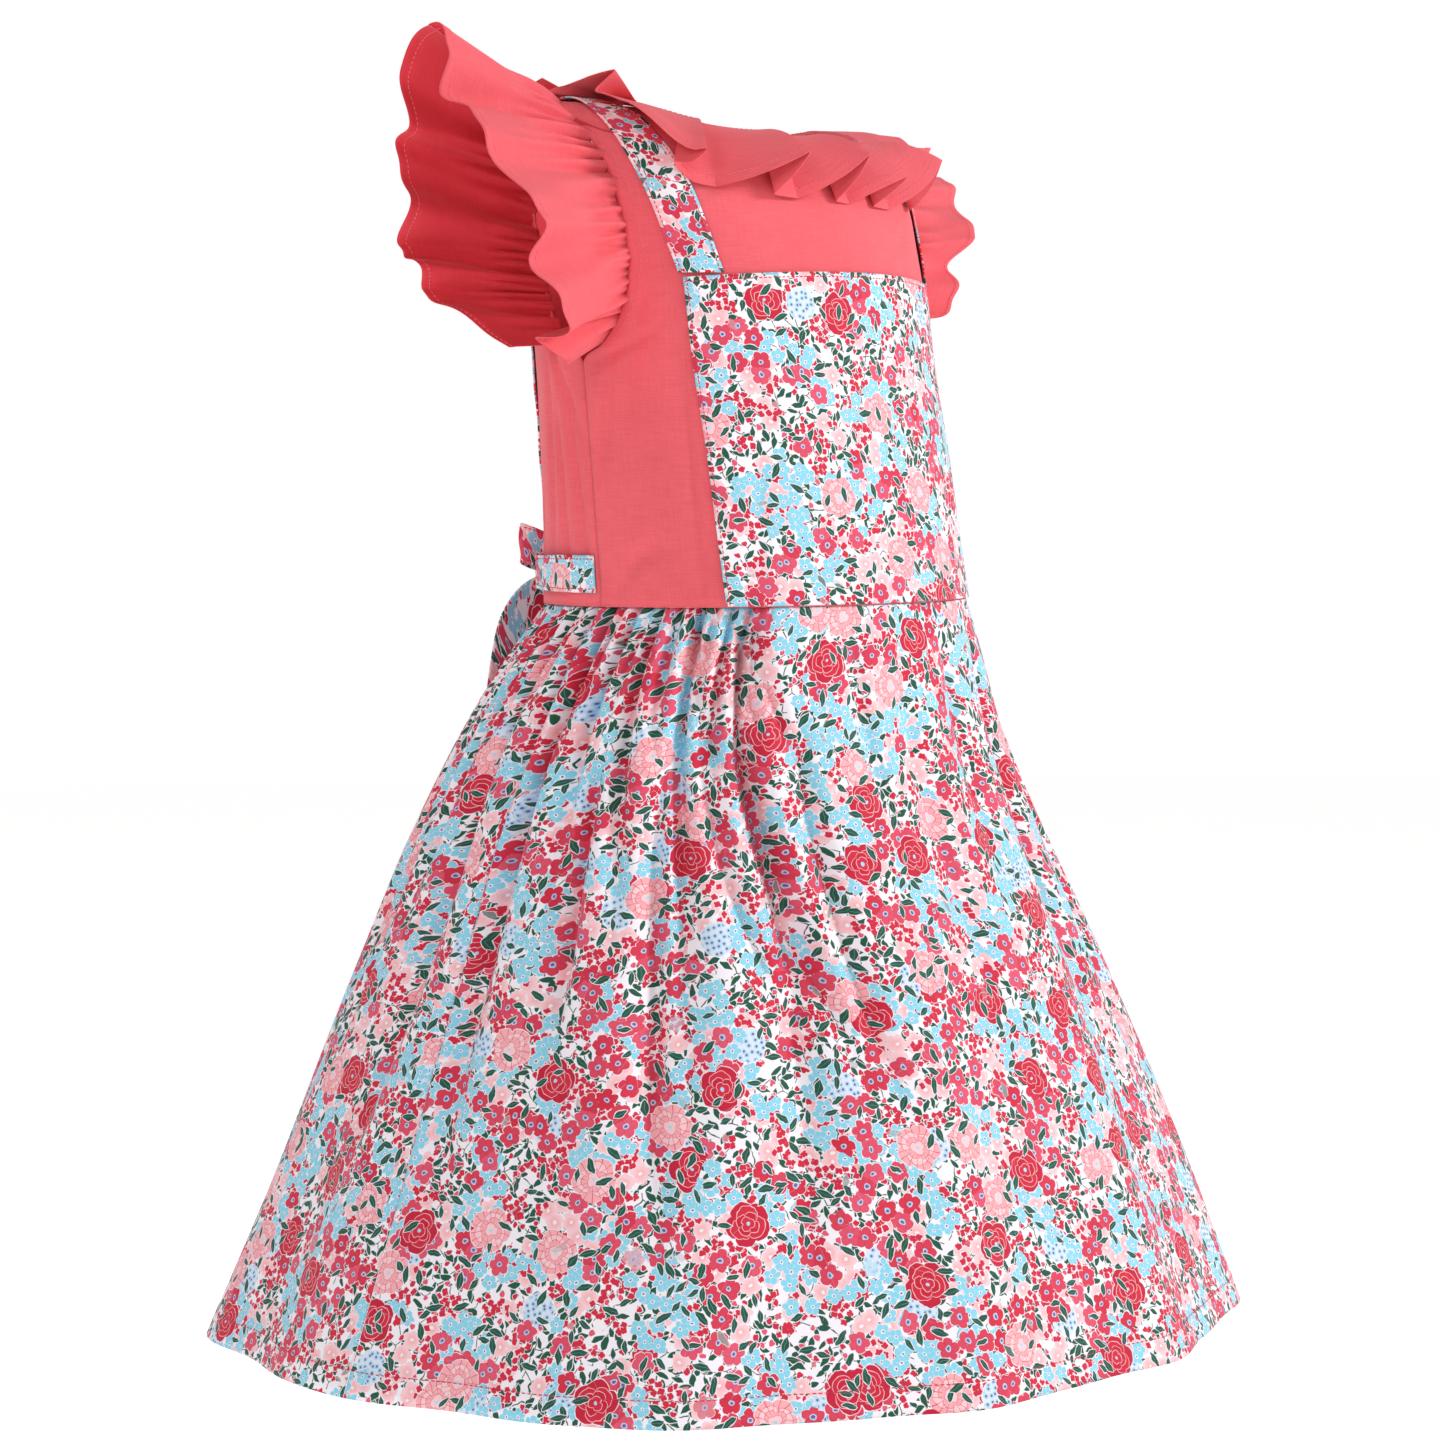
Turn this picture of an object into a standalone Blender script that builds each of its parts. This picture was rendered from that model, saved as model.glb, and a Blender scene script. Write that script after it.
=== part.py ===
"""A child's fit and flare dress: plain bodice, neck and sleeve ruffles, printed bib, straps, ties and skirt.

Metres, +Z up. The front looks towards -Y and the wearer's left is +X. The origin lies midway between the
shoulder tips, where the wearer holds the dress up. The body is a general hollow figure of level oval sections.
An angle on it is in degrees from the centre front towards the wearer's left, so the centre back is at 180.
Every piece of cloth is a closed wall: a grid of outer points, the same grid moved inwards, and a rim.
"""
import math
from collections import namedtuple

import bmesh
import bpy
import numpy as np

# Driving dimensions
CLOTH = 0.0011              # thickness of a wall of cloth
SEAM_GAP = 0.0003           # distance between two pieces at a seam
FACET_MARGIN = 0.0001       # added to half a gap where two faceted edges meet
LAYER_GAP = 0.0006          # distance between a panel and what lies on it, over the facets of both
WAIST_HEIGHT = -0.257
HEM_HEIGHT = -0.636
SHOULDER_HALF_WIDTH = 0.1265
SHOULDER_DEPTH = 0.060      # height over which the chest and the back round off to the shoulder seam
SHOULDER_ROUND = 2.1        # exponent of that rounding, 2 is a circle
LEFT_SHOULDER_DROP = 0.0045 # how much lower the wearer's left shoulder hangs than the right one
NECK_ANGLE = 40.4           # angle of the neck point on the shoulder seam

Section = namedtuple("Section", "height half_width half_depth centre_y")
BODY = [
    Section(-0.257, 0.1236, 0.1038, -0.031),
    Section(-0.220, 0.1232, 0.0990, -0.028),
    Section(-0.180, 0.1228, 0.0955, -0.024),
    Section(-0.140, 0.1215, 0.0925, -0.019),
    Section(-0.092, 0.1210, 0.0915, -0.013),
    Section(-0.050, 0.1225, 0.0885, -0.006),
    Section(0.000, SHOULDER_HALF_WIDTH, 0.0885, 0.000),
]

# One row of a bodice panel runs level from edge to edge. Row by row, its edge goes up the side seam, round the
# armhole and along the shoulder seam, and its middle climbs to the neckline.
PanelRow = namedtuple("PanelRow", "edge_angle edge_height middle_height")
FRONT_ROWS = [
    PanelRow(90.0, -0.257, -0.257),
    PanelRow(90.0, -0.222, -0.224),
    PanelRow(90.0, -0.186, -0.190),
    PanelRow(90.0, -0.158, -0.160),
    PanelRow(90.0, -0.133, -0.130),
    PanelRow(82.0, -0.124, -0.112),
    PanelRow(74.5, -0.108, -0.094),
    PanelRow(70.0, -0.085, -0.076),
    PanelRow(69.5, -0.055, -0.058),
    PanelRow(71.0, -0.031, -0.044),
    PanelRow(75.0, -0.014, -0.034),
    PanelRow(80.5, -0.004, -0.027),
    PanelRow(90.0, 0.000, -0.022),
    PanelRow(57.0, 0.000, -0.0190),
    PanelRow(NECK_ANGLE, 0.000, -0.0165),
]
BACK_ROWS = [
    PanelRow(90.0, -0.257, -0.257),
    PanelRow(90.0, -0.222, -0.222),
    PanelRow(90.0, -0.186, -0.186),
    PanelRow(90.0, -0.158, -0.154),
    PanelRow(90.0, -0.133, -0.126),
    PanelRow(82.5, -0.124, -0.103),
    PanelRow(76.0, -0.107, -0.083),
    PanelRow(72.5, -0.082, -0.064),
    PanelRow(72.0, -0.048, -0.048),
    PanelRow(73.5, -0.027, -0.038),
    PanelRow(77.0, -0.012, -0.031),
    PanelRow(81.5, -0.004, -0.026),
    PanelRow(90.0, 0.000, -0.0210),
    PanelRow(57.0, 0.000, -0.0180),
    PanelRow(NECK_ANGLE, 0.000, -0.0155),
]
NECKLINE_POWER = 4.0        # how squarely the neckline turns down from the neck points
FRONT_COLUMNS = 24
BACK_COLUMNS = 12
CENTRE_BACK_GAP = 0.0020    # half the gap between the back panels, as a share of the back's half breadth

# Bib and straps
BIB_HALF_WIDTH = 0.0985
BIB_CORNER_HEIGHT = -0.0915
BIB_CROWN = 0.004           # how much the bib's top edge arches at its middle
BIB_COLUMNS = 16
BIB_ROWS = 9
STRAP_WIDTH = 0.0174
STRAP_LIFT = 0.0012
StrapRow = namedtuple("StrapRow", "side centre_x height")
STRAP_ROWS = [
    StrapRow("front", 0.0912, -0.0893),
    StrapRow("front", 0.0942, -0.0700),
    StrapRow("front", 0.0975, -0.0500),
    StrapRow("front", 0.1005, -0.0340),
    StrapRow("front", 0.1030, -0.0200),
    StrapRow("front", 0.1045, -0.0110),
    StrapRow("front", 0.1055, -0.0045),
    StrapRow("front", 0.1060, -0.0012),
    StrapRow("back", 0.1060, 0.0000),
    StrapRow("back", 0.1055, -0.0012),
    StrapRow("back", 0.1045, -0.0045),
    StrapRow("back", 0.1030, -0.0110),
    StrapRow("back", 0.1005, -0.0220),
    StrapRow("back", 0.0965, -0.0400),
    StrapRow("back", 0.0920, -0.0650),
    StrapRow("back", 0.0860, -0.1000),
    StrapRow("back", 0.0790, -0.1400),
    StrapRow("back", 0.0720, -0.1800),
    StrapRow("back", 0.0660, -0.2200),
    StrapRow("back", 0.0610, -0.2565),
]

# Back opening
PLACKET_WIDTH = 0.020
PLACKET_BOTTOM = -0.170
BUTTON_RADIUS = 0.0050
BUTTON_THICKNESS = 0.0022
BUTTON_HEIGHTS = [-0.045, -0.080, -0.115, -0.145]

# Neck ruffle
NECK_PLEATS = 14
NECK_OPENING = 0.16         # share of the neckline's half breadth that is left free for the placket
NECK_DEPTH_FRONT = 0.048
NECK_DEPTH_SIDE = 0.033
NECK_STAND = 0.0016         # height that the ruffle stands above the neckline before it turns over
NECK_CLEARANCE = 0.0010     # distance from the bodice under the lowest folds
NECK_CLEARANCE_STRAP = 0.0032
# How far the ruffle's lowest folds lean from straight down, from its seam to its free edge
NeckTilt = namedtuple("NeckTilt", "down middle right_shoulder left_shoulder")
NECK_TILTS = [
    NeckTilt(0.0, 64.0, 96.0, 93.0),
    NeckTilt(0.3, 50.0, 96.0, 92.0),
    NeckTilt(0.65, 32.0, 94.0, 90.0),
    NeckTilt(1.0, 20.0, 92.0, 88.0),
]
# One knife pleat: its places along the seam and along the free edge, and the angle by which it stands out
PleatPoint = namedtuple("PleatPoint", "seam_place edge_place stand_angle")
KNIFE_PLEAT = [
    PleatPoint(0.00, 0.00, 0.0),
    PleatPoint(0.30, 0.27, 6.0),
    PleatPoint(0.60, 0.56, 12.0),
    PleatPoint(0.86, 0.87, 18.0),
    PleatPoint(0.93, 0.95, 2.0),
]
NECK_CALM_RIGHT = 0.40      # share of the pleats' stand that is lost at the wearer's right shoulder
NECK_CALM_LEFT = 0.90
NECK_RUFFLE_ROWS = [0.0, 0.06, 0.26, 0.50, 0.75, 1.0]
NECKLINE_STEPS = 80         # points of the neckline's path on each half
DIRECTION_REACH = 0.02      # share of the path before and after a point that gives its direction there

# Sleeve ruffles: at each station of the armhole, the ruffle's length and how it leans from straight sideways
SLEEVE_FIELDS = "side edge_angle height lean_back right_length right_up left_length left_up"
SleeveStation = namedtuple("SleeveStation", SLEEVE_FIELDS)
SLEEVE_STATIONS = [
    SleeveStation("front", 82.0, -0.124, 0.00, 0.026, -0.45, 0.012, -0.15),
    SleeveStation("front", 74.5, -0.108, -0.05, 0.054, -0.36, 0.020, 0.00),
    SleeveStation("front", 70.0, -0.085, -0.15, 0.072, -0.20, 0.036, 0.06),
    SleeveStation("front", 69.5, -0.055, -0.16, 0.078, -0.07, 0.054, 0.02),
    SleeveStation("front", 71.0, -0.031, 0.02, 0.079, 0.02, 0.062, 0.00),
    SleeveStation("front", 75.0, -0.014, 0.22, 0.080, 0.22, 0.065, 0.00),
    SleeveStation("back", 90.0, 0.000, 0.10, 0.083, 0.50, 0.070, 0.02),
    SleeveStation("back", 80.0, -0.009, 0.24, 0.080, 0.38, 0.071, 0.00),
    SleeveStation("back", 75.0, -0.027, 0.38, 0.075, 0.31, 0.070, -0.04),
    SleeveStation("back", 72.0, -0.048, 0.28, 0.074, 0.22, 0.068, -0.08),
    SleeveStation("back", 72.5, -0.082, 0.42, 0.074, 0.10, 0.060, -0.10),
    SleeveStation("back", 76.0, -0.107, 0.48, 0.058, 0.06, 0.044, -0.12),
    SleeveStation("back", 82.5, -0.124, 0.35, 0.030, -0.05, 0.024, -0.20),
]
SLEEVE_SEAM_GAP = 0.0007    # distance from the armhole's edge, over the facets of both
SLEEVE_COLUMNS = 54
SLEEVE_ROWS = [0.0, 0.18, 0.45, 0.75, 1.0]
SLEEVE_WAVES = 9
SLEEVE_WAVE_HEIGHT = 0.0075
SLEEVE_GATHER_HEIGHT = 0.0009

# Skirt
SkirtSection = namedtuple("SkirtSection", "drop half_width half_depth centre_y")
SKIRT = [
    SkirtSection(0.00, 0.1236, 0.1038, -0.0310),
    SkirtSection(0.07, 0.1382, 0.1170, -0.0235),
    SkirtSection(0.18, 0.1583, 0.1354, -0.0145),
    SkirtSection(0.50, 0.2120, 0.1888, -0.0100),
    SkirtSection(0.80, 0.2550, 0.2368, -0.0085),
    SkirtSection(1.00, 0.2820, 0.2690, -0.0050),
]
SKIRT_ROWS = [0.0, 0.02, 0.06, 0.12, 0.21, 0.33, 0.48, 0.65, 0.83, 1.0]
GATHER_START = 40.0         # angle from the centre front where the gathers begin
GATHERS = 62
SMOOTH_COLUMNS = 12         # columns of the plain stretch under the bib
GatherPattern = namedtuple("GatherPattern", "length depth shift")
GATHER_PATTERN = [
    GatherPattern(0.16, 0.0030, 0.10),
    GatherPattern(0.52, 0.0046, -0.12),
    GatherPattern(0.22, 0.0032, 0.05),
    GatherPattern(0.78, 0.0055, 0.15),
    GatherPattern(0.14, 0.0027, -0.10),
    GatherPattern(0.36, 0.0042, -0.05),
    GatherPattern(0.96, 0.0060, 0.12),
    GatherPattern(0.20, 0.0030, -0.15),
    GatherPattern(0.44, 0.0044, 0.08),
]
SIDE_SEAM_MARGIN = 0.02     # degrees added to half the gap at the skirt's side seams
SIDE_SEAM_CLEAR = 0.8       # degrees on each side of a side seam that hold no gather
BROAD_WAVES = 11            # low waves round the hem
BROAD_WAVE_HEIGHT = 0.0040

# Ties and bow
TIE_WIDTH = 0.019
TIE_KNOT_WIDTH = 0.011
TIE_HEIGHT = -0.2405
TIE_LIFT = 0.0030           # distance from the bodice where the ties pass over the straps' lower ends
TIE_START_ANGLE = 90.9      # just behind the side seam
TIE_END_ANGLE = 176.4       # just before the knot
TIE_COLUMNS = 18
KNOT_HALF_SIZE = (0.009, 0.007, 0.009)
KNOT_SQUARENESS = 0.6       # exponent that swells a ball into a rounded block
KNOT_SINK = 0.0008          # how far the knot reaches in past the ties' inner face
LOOP_LENGTH = 0.048
LOOP_HEIGHT = 0.021
LOOP_OPEN = 0.014           # distance between the front and the back layer of a loop, at its widest
LOOP_PINCH = 0.0018         # and at the knot
LOOP_START = 0.0001         # distance from the knot's widest point where a loop begins
LOOP_BLUNTNESS = 0.8        # exponent of a loop's round end, 1 is a semicircle
LOOP_GATHERED = 0.28        # share of a loop's height that is left at the knot
LOOP_BEHIND = 0.003         # how far behind the knot's middle a loop begins
LOOP_SWING = 0.004          # how much further back its end swings
LOOP_LIFT = 0.014           # how much higher its end stands
LOOP_COLUMNS = 16
CLOTH_STRIP_ROWS = 4        # rows of points across a loop or a tail
TailStation = namedtuple("TailStation", "sideways behind down width")
TAIL_STATIONS = [
    TailStation(0.0074, 0.003, 0.0113, 0.009),
    TailStation(0.0180, 0.010, 0.0140, 0.018),
    TailStation(0.0340, 0.016, 0.0180, 0.026),
    TailStation(0.0450, 0.020, 0.0310, 0.028),
    TailStation(0.0480, 0.025, 0.0520, 0.028),
    TailStation(0.0460, 0.034, 0.0770, 0.027),
    TailStation(0.0410, 0.047, 0.1020, 0.026),
]

Finish = namedtuple("Finish", "colour roughness metallic")
CORAL_POPLIN = Finish((0.79, 0.10, 0.13, 1.0), 0.75, 0.0)
FLORAL_COTTON = Finish((0.78, 0.42, 0.50, 1.0), 0.70, 0.0)
RED_BUTTON = Finish((0.70, 0.08, 0.11, 1.0), 0.35, 0.0)


def clear_scene():
    for item in list(bpy.data.objects):
        bpy.data.objects.remove(item, do_unlink=True)


def make_material(name, finish):
    material = bpy.data.materials.new(name)
    material.use_nodes = True
    shader = material.node_tree.nodes["Principled BSDF"]
    shader.inputs["Base Color"].default_value = finish.colour
    shader.inputs["Roughness"].default_value = finish.roughness
    shader.inputs["Metallic"].default_value = finish.metallic
    material.diffuse_color = finish.colour
    return material


def smooth_read(place, places, values):
    """Value of a table at a place, on a smooth curve through its rows."""
    places = np.asarray(places, float)
    values = np.asarray(values, float)
    slopes = np.gradient(values, places)
    place = np.clip(place, places[0], places[-1])
    row = np.clip(np.searchsorted(places, place, side="right") - 1, 0, len(places) - 2)
    span = places[row + 1] - places[row]
    x = (place - places[row]) / span
    return ((2 * x**3 - 3 * x**2 + 1) * values[row] + (x**3 - 2 * x**2 + x) * span * slopes[row]
            + (3 * x**2 - 2 * x**3) * values[row + 1] + (x**3 - x**2) * span * slopes[row + 1])


def smooth_step(low, high, x):
    x = np.clip((x - low) / (high - low), 0.0, 1.0)
    return x * x * (3 - 2 * x)


def column(table, name):
    return [getattr(row, name) for row in table]


def unit(vectors):
    return vectors / np.maximum(np.linalg.norm(vectors, axis=-1, keepdims=True), 1e-12)


# Body form

def body_oval(height):
    """Half width, half depth and centre of the level section at a height."""
    heights = column(BODY, "height")
    half_width = smooth_read(height, heights, column(BODY, "half_width"))
    half_depth = smooth_read(height, heights, column(BODY, "half_depth"))
    centre_y = smooth_read(height, heights, column(BODY, "centre_y"))
    towards_top = np.clip((height + SHOULDER_DEPTH) / SHOULDER_DEPTH, 0.0, 1.0)
    dome = (1.0 - towards_top**SHOULDER_ROUND) ** (1.0 / SHOULDER_ROUND)
    return half_width, half_depth * dome, centre_y


def shoulder_drop(x, height):
    """How far a point hangs below its height in the table of sections, on the wearer's left."""
    return LEFT_SHOULDER_DROP * smooth_step(-SHOULDER_DEPTH, 0.0, height) * smooth_step(-0.06, 0.11, x)


def body_point(angle, height):
    """Points of the body at angles in degrees and heights, arrays of one shape."""
    angle, height = np.broadcast_arrays(np.asarray(angle, float), np.asarray(height, float))
    half_width, half_depth, centre_y = body_oval(height)
    x = half_width * np.sin(np.radians(angle))
    y = centre_y - half_depth * np.cos(np.radians(angle))
    return np.stack([x, y, height - shoulder_drop(x, height)], axis=-1)


def angle_of_x(x, height, side):
    """Angle of the body point with this x, on the front or the back."""
    half_width = body_oval(height)[0]
    angle = np.degrees(np.arcsin(np.clip(x / half_width, -1.0, 1.0)))
    return angle if side == "front" else 180.0 - angle


# Walls of cloth

def grid_normals(grid):
    """Unit normals of a grid of points, by its neighbours along rows and columns."""
    along_rows = np.gradient(grid, axis=1)
    along_columns = np.gradient(grid, axis=0)
    return unit(np.cross(along_rows, along_columns))


def moved_out(grid, distance, outwards):
    """The grid moved along its normals, which are turned to the side that outwards gives for each point."""
    normals = grid_normals(grid)
    facing = np.sign(np.sum(normals * outwards, axis=-1, keepdims=True).sum())
    return grid + normals * facing * distance


def away_from_axis(grid):
    """Directions that point from the body's upright middle line to each point, and a little upwards."""
    outwards = grid - np.array([0.0, -0.02, 0.0])
    outwards[..., 2] = 0.02
    return unit(outwards)


def wall_object(name, outer, inner, material):
    """A closed wall between two grids of the same shape."""
    rows, columns = outer.shape[:2]
    mesh = bpy.data.meshes.new(name)
    work = bmesh.new()
    front = [[work.verts.new(outer[i, j]) for j in range(columns)] for i in range(rows)]
    back = [[work.verts.new(inner[i, j]) for j in range(columns)] for i in range(rows)]
    for i in range(rows - 1):
        for j in range(columns - 1):
            work.faces.new((front[i][j], front[i][j + 1], front[i + 1][j + 1], front[i + 1][j]))
            work.faces.new((back[i][j], back[i + 1][j], back[i + 1][j + 1], back[i][j + 1]))
    rim = [(i, 0) for i in range(rows)]
    rim += [(rows - 1, j) for j in range(1, columns)]
    rim += [(i, columns - 1) for i in range(rows - 2, -1, -1)]
    rim += [(0, j) for j in range(columns - 2, 0, -1)]
    for (i, j), (k, m) in zip(rim, rim[1:] + rim[:1]):
        work.faces.new((front[i][j], front[k][m], back[k][m], back[i][j]))
    if work.calc_volume(signed=True) < 0:
        bmesh.ops.reverse_faces(work, faces=work.faces)
    work.to_mesh(mesh)
    work.free()
    mesh.shade_smooth()
    mesh.set_sharp_from_angle(angle=math.radians(50))
    item = bpy.data.objects.new(name, mesh)
    item.data.materials.append(material)
    bpy.context.collection.objects.link(item)
    return item


# Bodice

def panel_grid(rows, columns, side, start, end):
    """Points of a bodice panel, from start to end of its breadth: -1 is one edge, 0 the middle, 1 the other."""
    places = np.linspace(start, end, columns + 1)
    grid = []
    for row in rows:
        angle = places * row.edge_angle
        rise = (row.edge_height - row.middle_height) * np.abs(places) ** NECKLINE_POWER
        height = row.middle_height + rise
        grid.append(body_point(angle if side == "front" else 180.0 - angle, height))
    return np.array(grid)


def clear_of_seam(grid, side):
    """The grid with its side and shoulder edges kept half a gap from the seam."""
    kept = grid.copy()
    heights = np.clip(grid[..., 2], WAIST_HEIGHT, 0.0)
    seam = smooth_read(heights, column(BODY, "height"), column(BODY, "centre_y"))
    half_gap = SEAM_GAP / 2 + FACET_MARGIN
    if side == "front":
        kept[..., 1] = np.minimum(kept[..., 1], seam - half_gap)
    else:
        kept[..., 1] = np.maximum(kept[..., 1], seam + half_gap)
    return kept


def bodice_panel(name, rows, columns, side, start, end, material):
    outer = panel_grid(rows, columns, side, start, end)
    inner = moved_out(outer, -CLOTH, away_from_axis(outer))
    inner[0, :, 2] = WAIST_HEIGHT
    wall_object(name, clear_of_seam(outer, side), clear_of_seam(inner, side), material)


def make_bodice(coral):
    bodice_panel("bodice_front", FRONT_ROWS, FRONT_COLUMNS, "front", -1.0, 1.0, coral)
    bodice_panel("bodice_back_left", BACK_ROWS, BACK_COLUMNS, "back", CENTRE_BACK_GAP, 1.0, coral)
    bodice_panel("bodice_back_right", BACK_ROWS, BACK_COLUMNS, "back", -1.0, -CENTRE_BACK_GAP, coral)


def layer_on_body(name, grid, lift, material):
    """A piece that lies on the bodice: a wall whose inner face is lifted off the grid's points."""
    outwards = away_from_axis(grid)
    wall_object(name, moved_out(grid, lift + CLOTH, outwards), moved_out(grid, lift, outwards), material)


def make_bib(floral):
    across = np.linspace(-1.0, 1.0, BIB_COLUMNS + 1)
    bottom = WAIST_HEIGHT + SEAM_GAP
    grid = []
    for up in np.linspace(0.0, 1.0, BIB_ROWS + 1):
        top = BIB_CORNER_HEIGHT + BIB_CROWN * (1.0 - across**2)
        height = bottom + (top - bottom) * up
        grid.append(body_point(angle_of_x(across * BIB_HALF_WIDTH, height, "front"), height))
    layer_on_body("bib", np.array(grid), LAYER_GAP, floral)


def strap_grid(hand):
    """Points of a strap from the bib's corner over the shoulder to the back of the waist."""
    grid = []
    for row in STRAP_ROWS:
        across = np.array([-0.5, 0.0, 0.5]) * STRAP_WIDTH
        x = hand * (row.centre_x + across)
        grid.append(body_point(angle_of_x(x, row.height, row.side), np.full(3, row.height)))
    return np.array(grid)


def make_straps(floral):
    for name, hand in (("strap_left", 1), ("strap_right", -1)):
        grid = strap_grid(hand)
        layer_on_body(name, grid, STRAP_LIFT, floral)


def make_back_opening(coral, red):
    across = np.linspace(-0.5, 0.5, 3) * PLACKET_WIDTH
    heights = [row.middle_height for row in BACK_ROWS if PLACKET_BOTTOM < row.middle_height]
    grid = np.array([body_point(angle_of_x(across, h, "back"), np.full(3, h)) for h in heights])
    layer_on_body("back_placket", grid, LAYER_GAP, coral)
    for number, height in enumerate(BUTTON_HEIGHTS, start=1):
        add_button(f"button_{number}", height, red)


def add_button(name, height, material):
    """A flat round button on the placket, turned square to the cloth."""
    above, below = body_point(180.0, height + BUTTON_RADIUS), body_point(180.0, height - BUTTON_RADIUS)
    along = unit(above - below)
    out = np.array([0.0, along[2], -along[1]])
    seat = (above + below) / 2 + out * (LAYER_GAP + CLOTH + SEAM_GAP + BUTTON_THICKNESS / 2)
    mesh = bpy.data.meshes.new(name)
    work = bmesh.new()
    bmesh.ops.create_cone(work, cap_ends=True, segments=16, radius1=BUTTON_RADIUS, radius2=BUTTON_RADIUS,
                          depth=BUTTON_THICKNESS)
    work.to_mesh(mesh)
    work.free()
    item = bpy.data.objects.new(name, mesh)
    item.location = seat
    item.rotation_euler = (math.atan2(-out[1], out[2]), 0.0, 0.0)
    mesh.materials.append(material)
    bpy.context.collection.objects.link(item)


# Neck ruffle

def neckline_path(side, places):
    """Points of the neckline at places from -1 to 1 of its breadth, on the front or the back."""
    row = FRONT_ROWS[-1] if side == "front" else BACK_ROWS[-1]
    angle = places * row.edge_angle
    height = row.middle_height * (1.0 - np.abs(places) ** NECKLINE_POWER)
    return body_point(angle if side == "front" else 180.0 - angle, height)


def neck_loop():
    """The neckline as one path, from the back opening over the wearer's right, the front and the left."""
    back_right = neckline_path("back", np.linspace(-NECK_OPENING, -1.0, NECKLINE_STEPS))
    front = neckline_path("front", np.linspace(-1.0, 1.0, 2 * NECKLINE_STEPS))
    back_left = neckline_path("back", np.linspace(1.0, NECK_OPENING, NECKLINE_STEPS))
    return np.concatenate([back_right, front[1:], back_left[1:]])


def read_path(path, shares):
    """Points and directions of a path at shares of its length."""
    steps = np.linalg.norm(np.diff(path, axis=0), axis=1)
    run = np.concatenate([[0.0], np.cumsum(steps)])
    run /= run[-1]
    points = np.stack([np.interp(shares, run, path[:, k]) for k in range(3)], axis=-1)
    ahead = np.clip(shares + DIRECTION_REACH, 0.0, 1.0)
    behind = np.clip(shares - DIRECTION_REACH, 0.0, 1.0)
    ahead = np.stack([np.interp(ahead, run, path[:, k]) for k in range(3)], axis=-1)
    behind = np.stack([np.interp(behind, run, path[:, k]) for k in range(3)], axis=-1)
    return points, unit(ahead - behind)


def clear_of_body(points):
    """The points moved straight outwards where they are inside the bodice and its straps, or too near."""
    over_strap = smooth_step(0.078, 0.088, np.abs(points[:, 0]))
    margin = NECK_CLEARANCE + (NECK_CLEARANCE_STRAP - NECK_CLEARANCE) * over_strap
    height = points[:, 2] + shoulder_drop(points[:, 0], points[:, 2])
    half_width, half_depth, centre_y = body_oval(np.minimum(height, 0.0))
    across = points[:, 0] / (half_width + margin)
    along = (points[:, 1] - centre_y) / (half_depth + margin)
    push = np.maximum(1.0 / np.hypot(across, along), 1.0)
    moved = points.copy()
    moved[:, 0] *= push
    moved[:, 1] = centre_y + (points[:, 1] - centre_y) * push
    return moved


def make_neck_ruffle(coral):
    """Knife pleats round the neck: flat at the seam, opening out as triangles towards the free edge."""
    folds = [(pleat, point) for pleat in range(NECK_PLEATS) for point in KNIFE_PLEAT]
    folds.append((NECK_PLEATS, KNIFE_PLEAT[0]))
    seam_places = np.array([(pleat + point.seam_place) / NECK_PLEATS for pleat, point in folds])
    edge_places = np.array([(pleat + point.edge_place) / NECK_PLEATS for pleat, point in folds])
    stand_angles = np.array([point.stand_angle for pleat, point in folds])
    path = neck_loop()
    up = np.array([0.0, 0.0, 1.0])
    downs = column(NECK_TILTS, "down")
    fallen = np.zeros((len(folds), 3))
    grid = []
    before = 0.0
    for down in NECK_RUFFLE_ROWS:
        points, along = read_path(path, seam_places * (1 - down) + edge_places * down)
        radial = unit(np.cross(along * np.array([1.0, 1.0, 0.0]), up))
        sideways = smooth_step(0.72, 1.0, np.abs(radial[:, 0]))
        on_left = radial[:, 0] > 0
        middle_down = (before + down) / 2
        shoulder = np.where(on_left, smooth_read(middle_down, downs, column(NECK_TILTS, "left_shoulder")),
                            smooth_read(middle_down, downs, column(NECK_TILTS, "right_shoulder")))
        middle = smooth_read(middle_down, downs, column(NECK_TILTS, "middle"))
        calm = np.where(on_left, NECK_CALM_LEFT, NECK_CALM_RIGHT)
        tilt = middle + (shoulder - middle) * sideways + stand_angles * (1.0 - calm * sideways)
        depth = NECK_DEPTH_FRONT + (NECK_DEPTH_SIDE - NECK_DEPTH_FRONT) * sideways
        tilt = np.radians(tilt)[:, None]
        fallen += (radial * np.sin(tilt) - up * np.cos(tilt)) * depth[:, None] * (down - before)
        stand = NECK_STAND * smooth_step(0.0, NECK_RUFFLE_ROWS[1], down) + SEAM_GAP
        row = points + up * stand + fallen
        grid.append(row if down < NECK_RUFFLE_ROWS[2] else clear_of_body(row))
        before = down
    grid = np.array(grid)
    wall_object("neck_ruffle", moved_out(grid, CLOTH, np.broadcast_to(up, grid.shape)), grid, coral)


# Sleeve ruffles

def armhole_station(station, hand):
    return body_point(hand * (station.edge_angle if station.side == "front" else 180.0 - station.edge_angle),
                      station.height)


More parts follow.
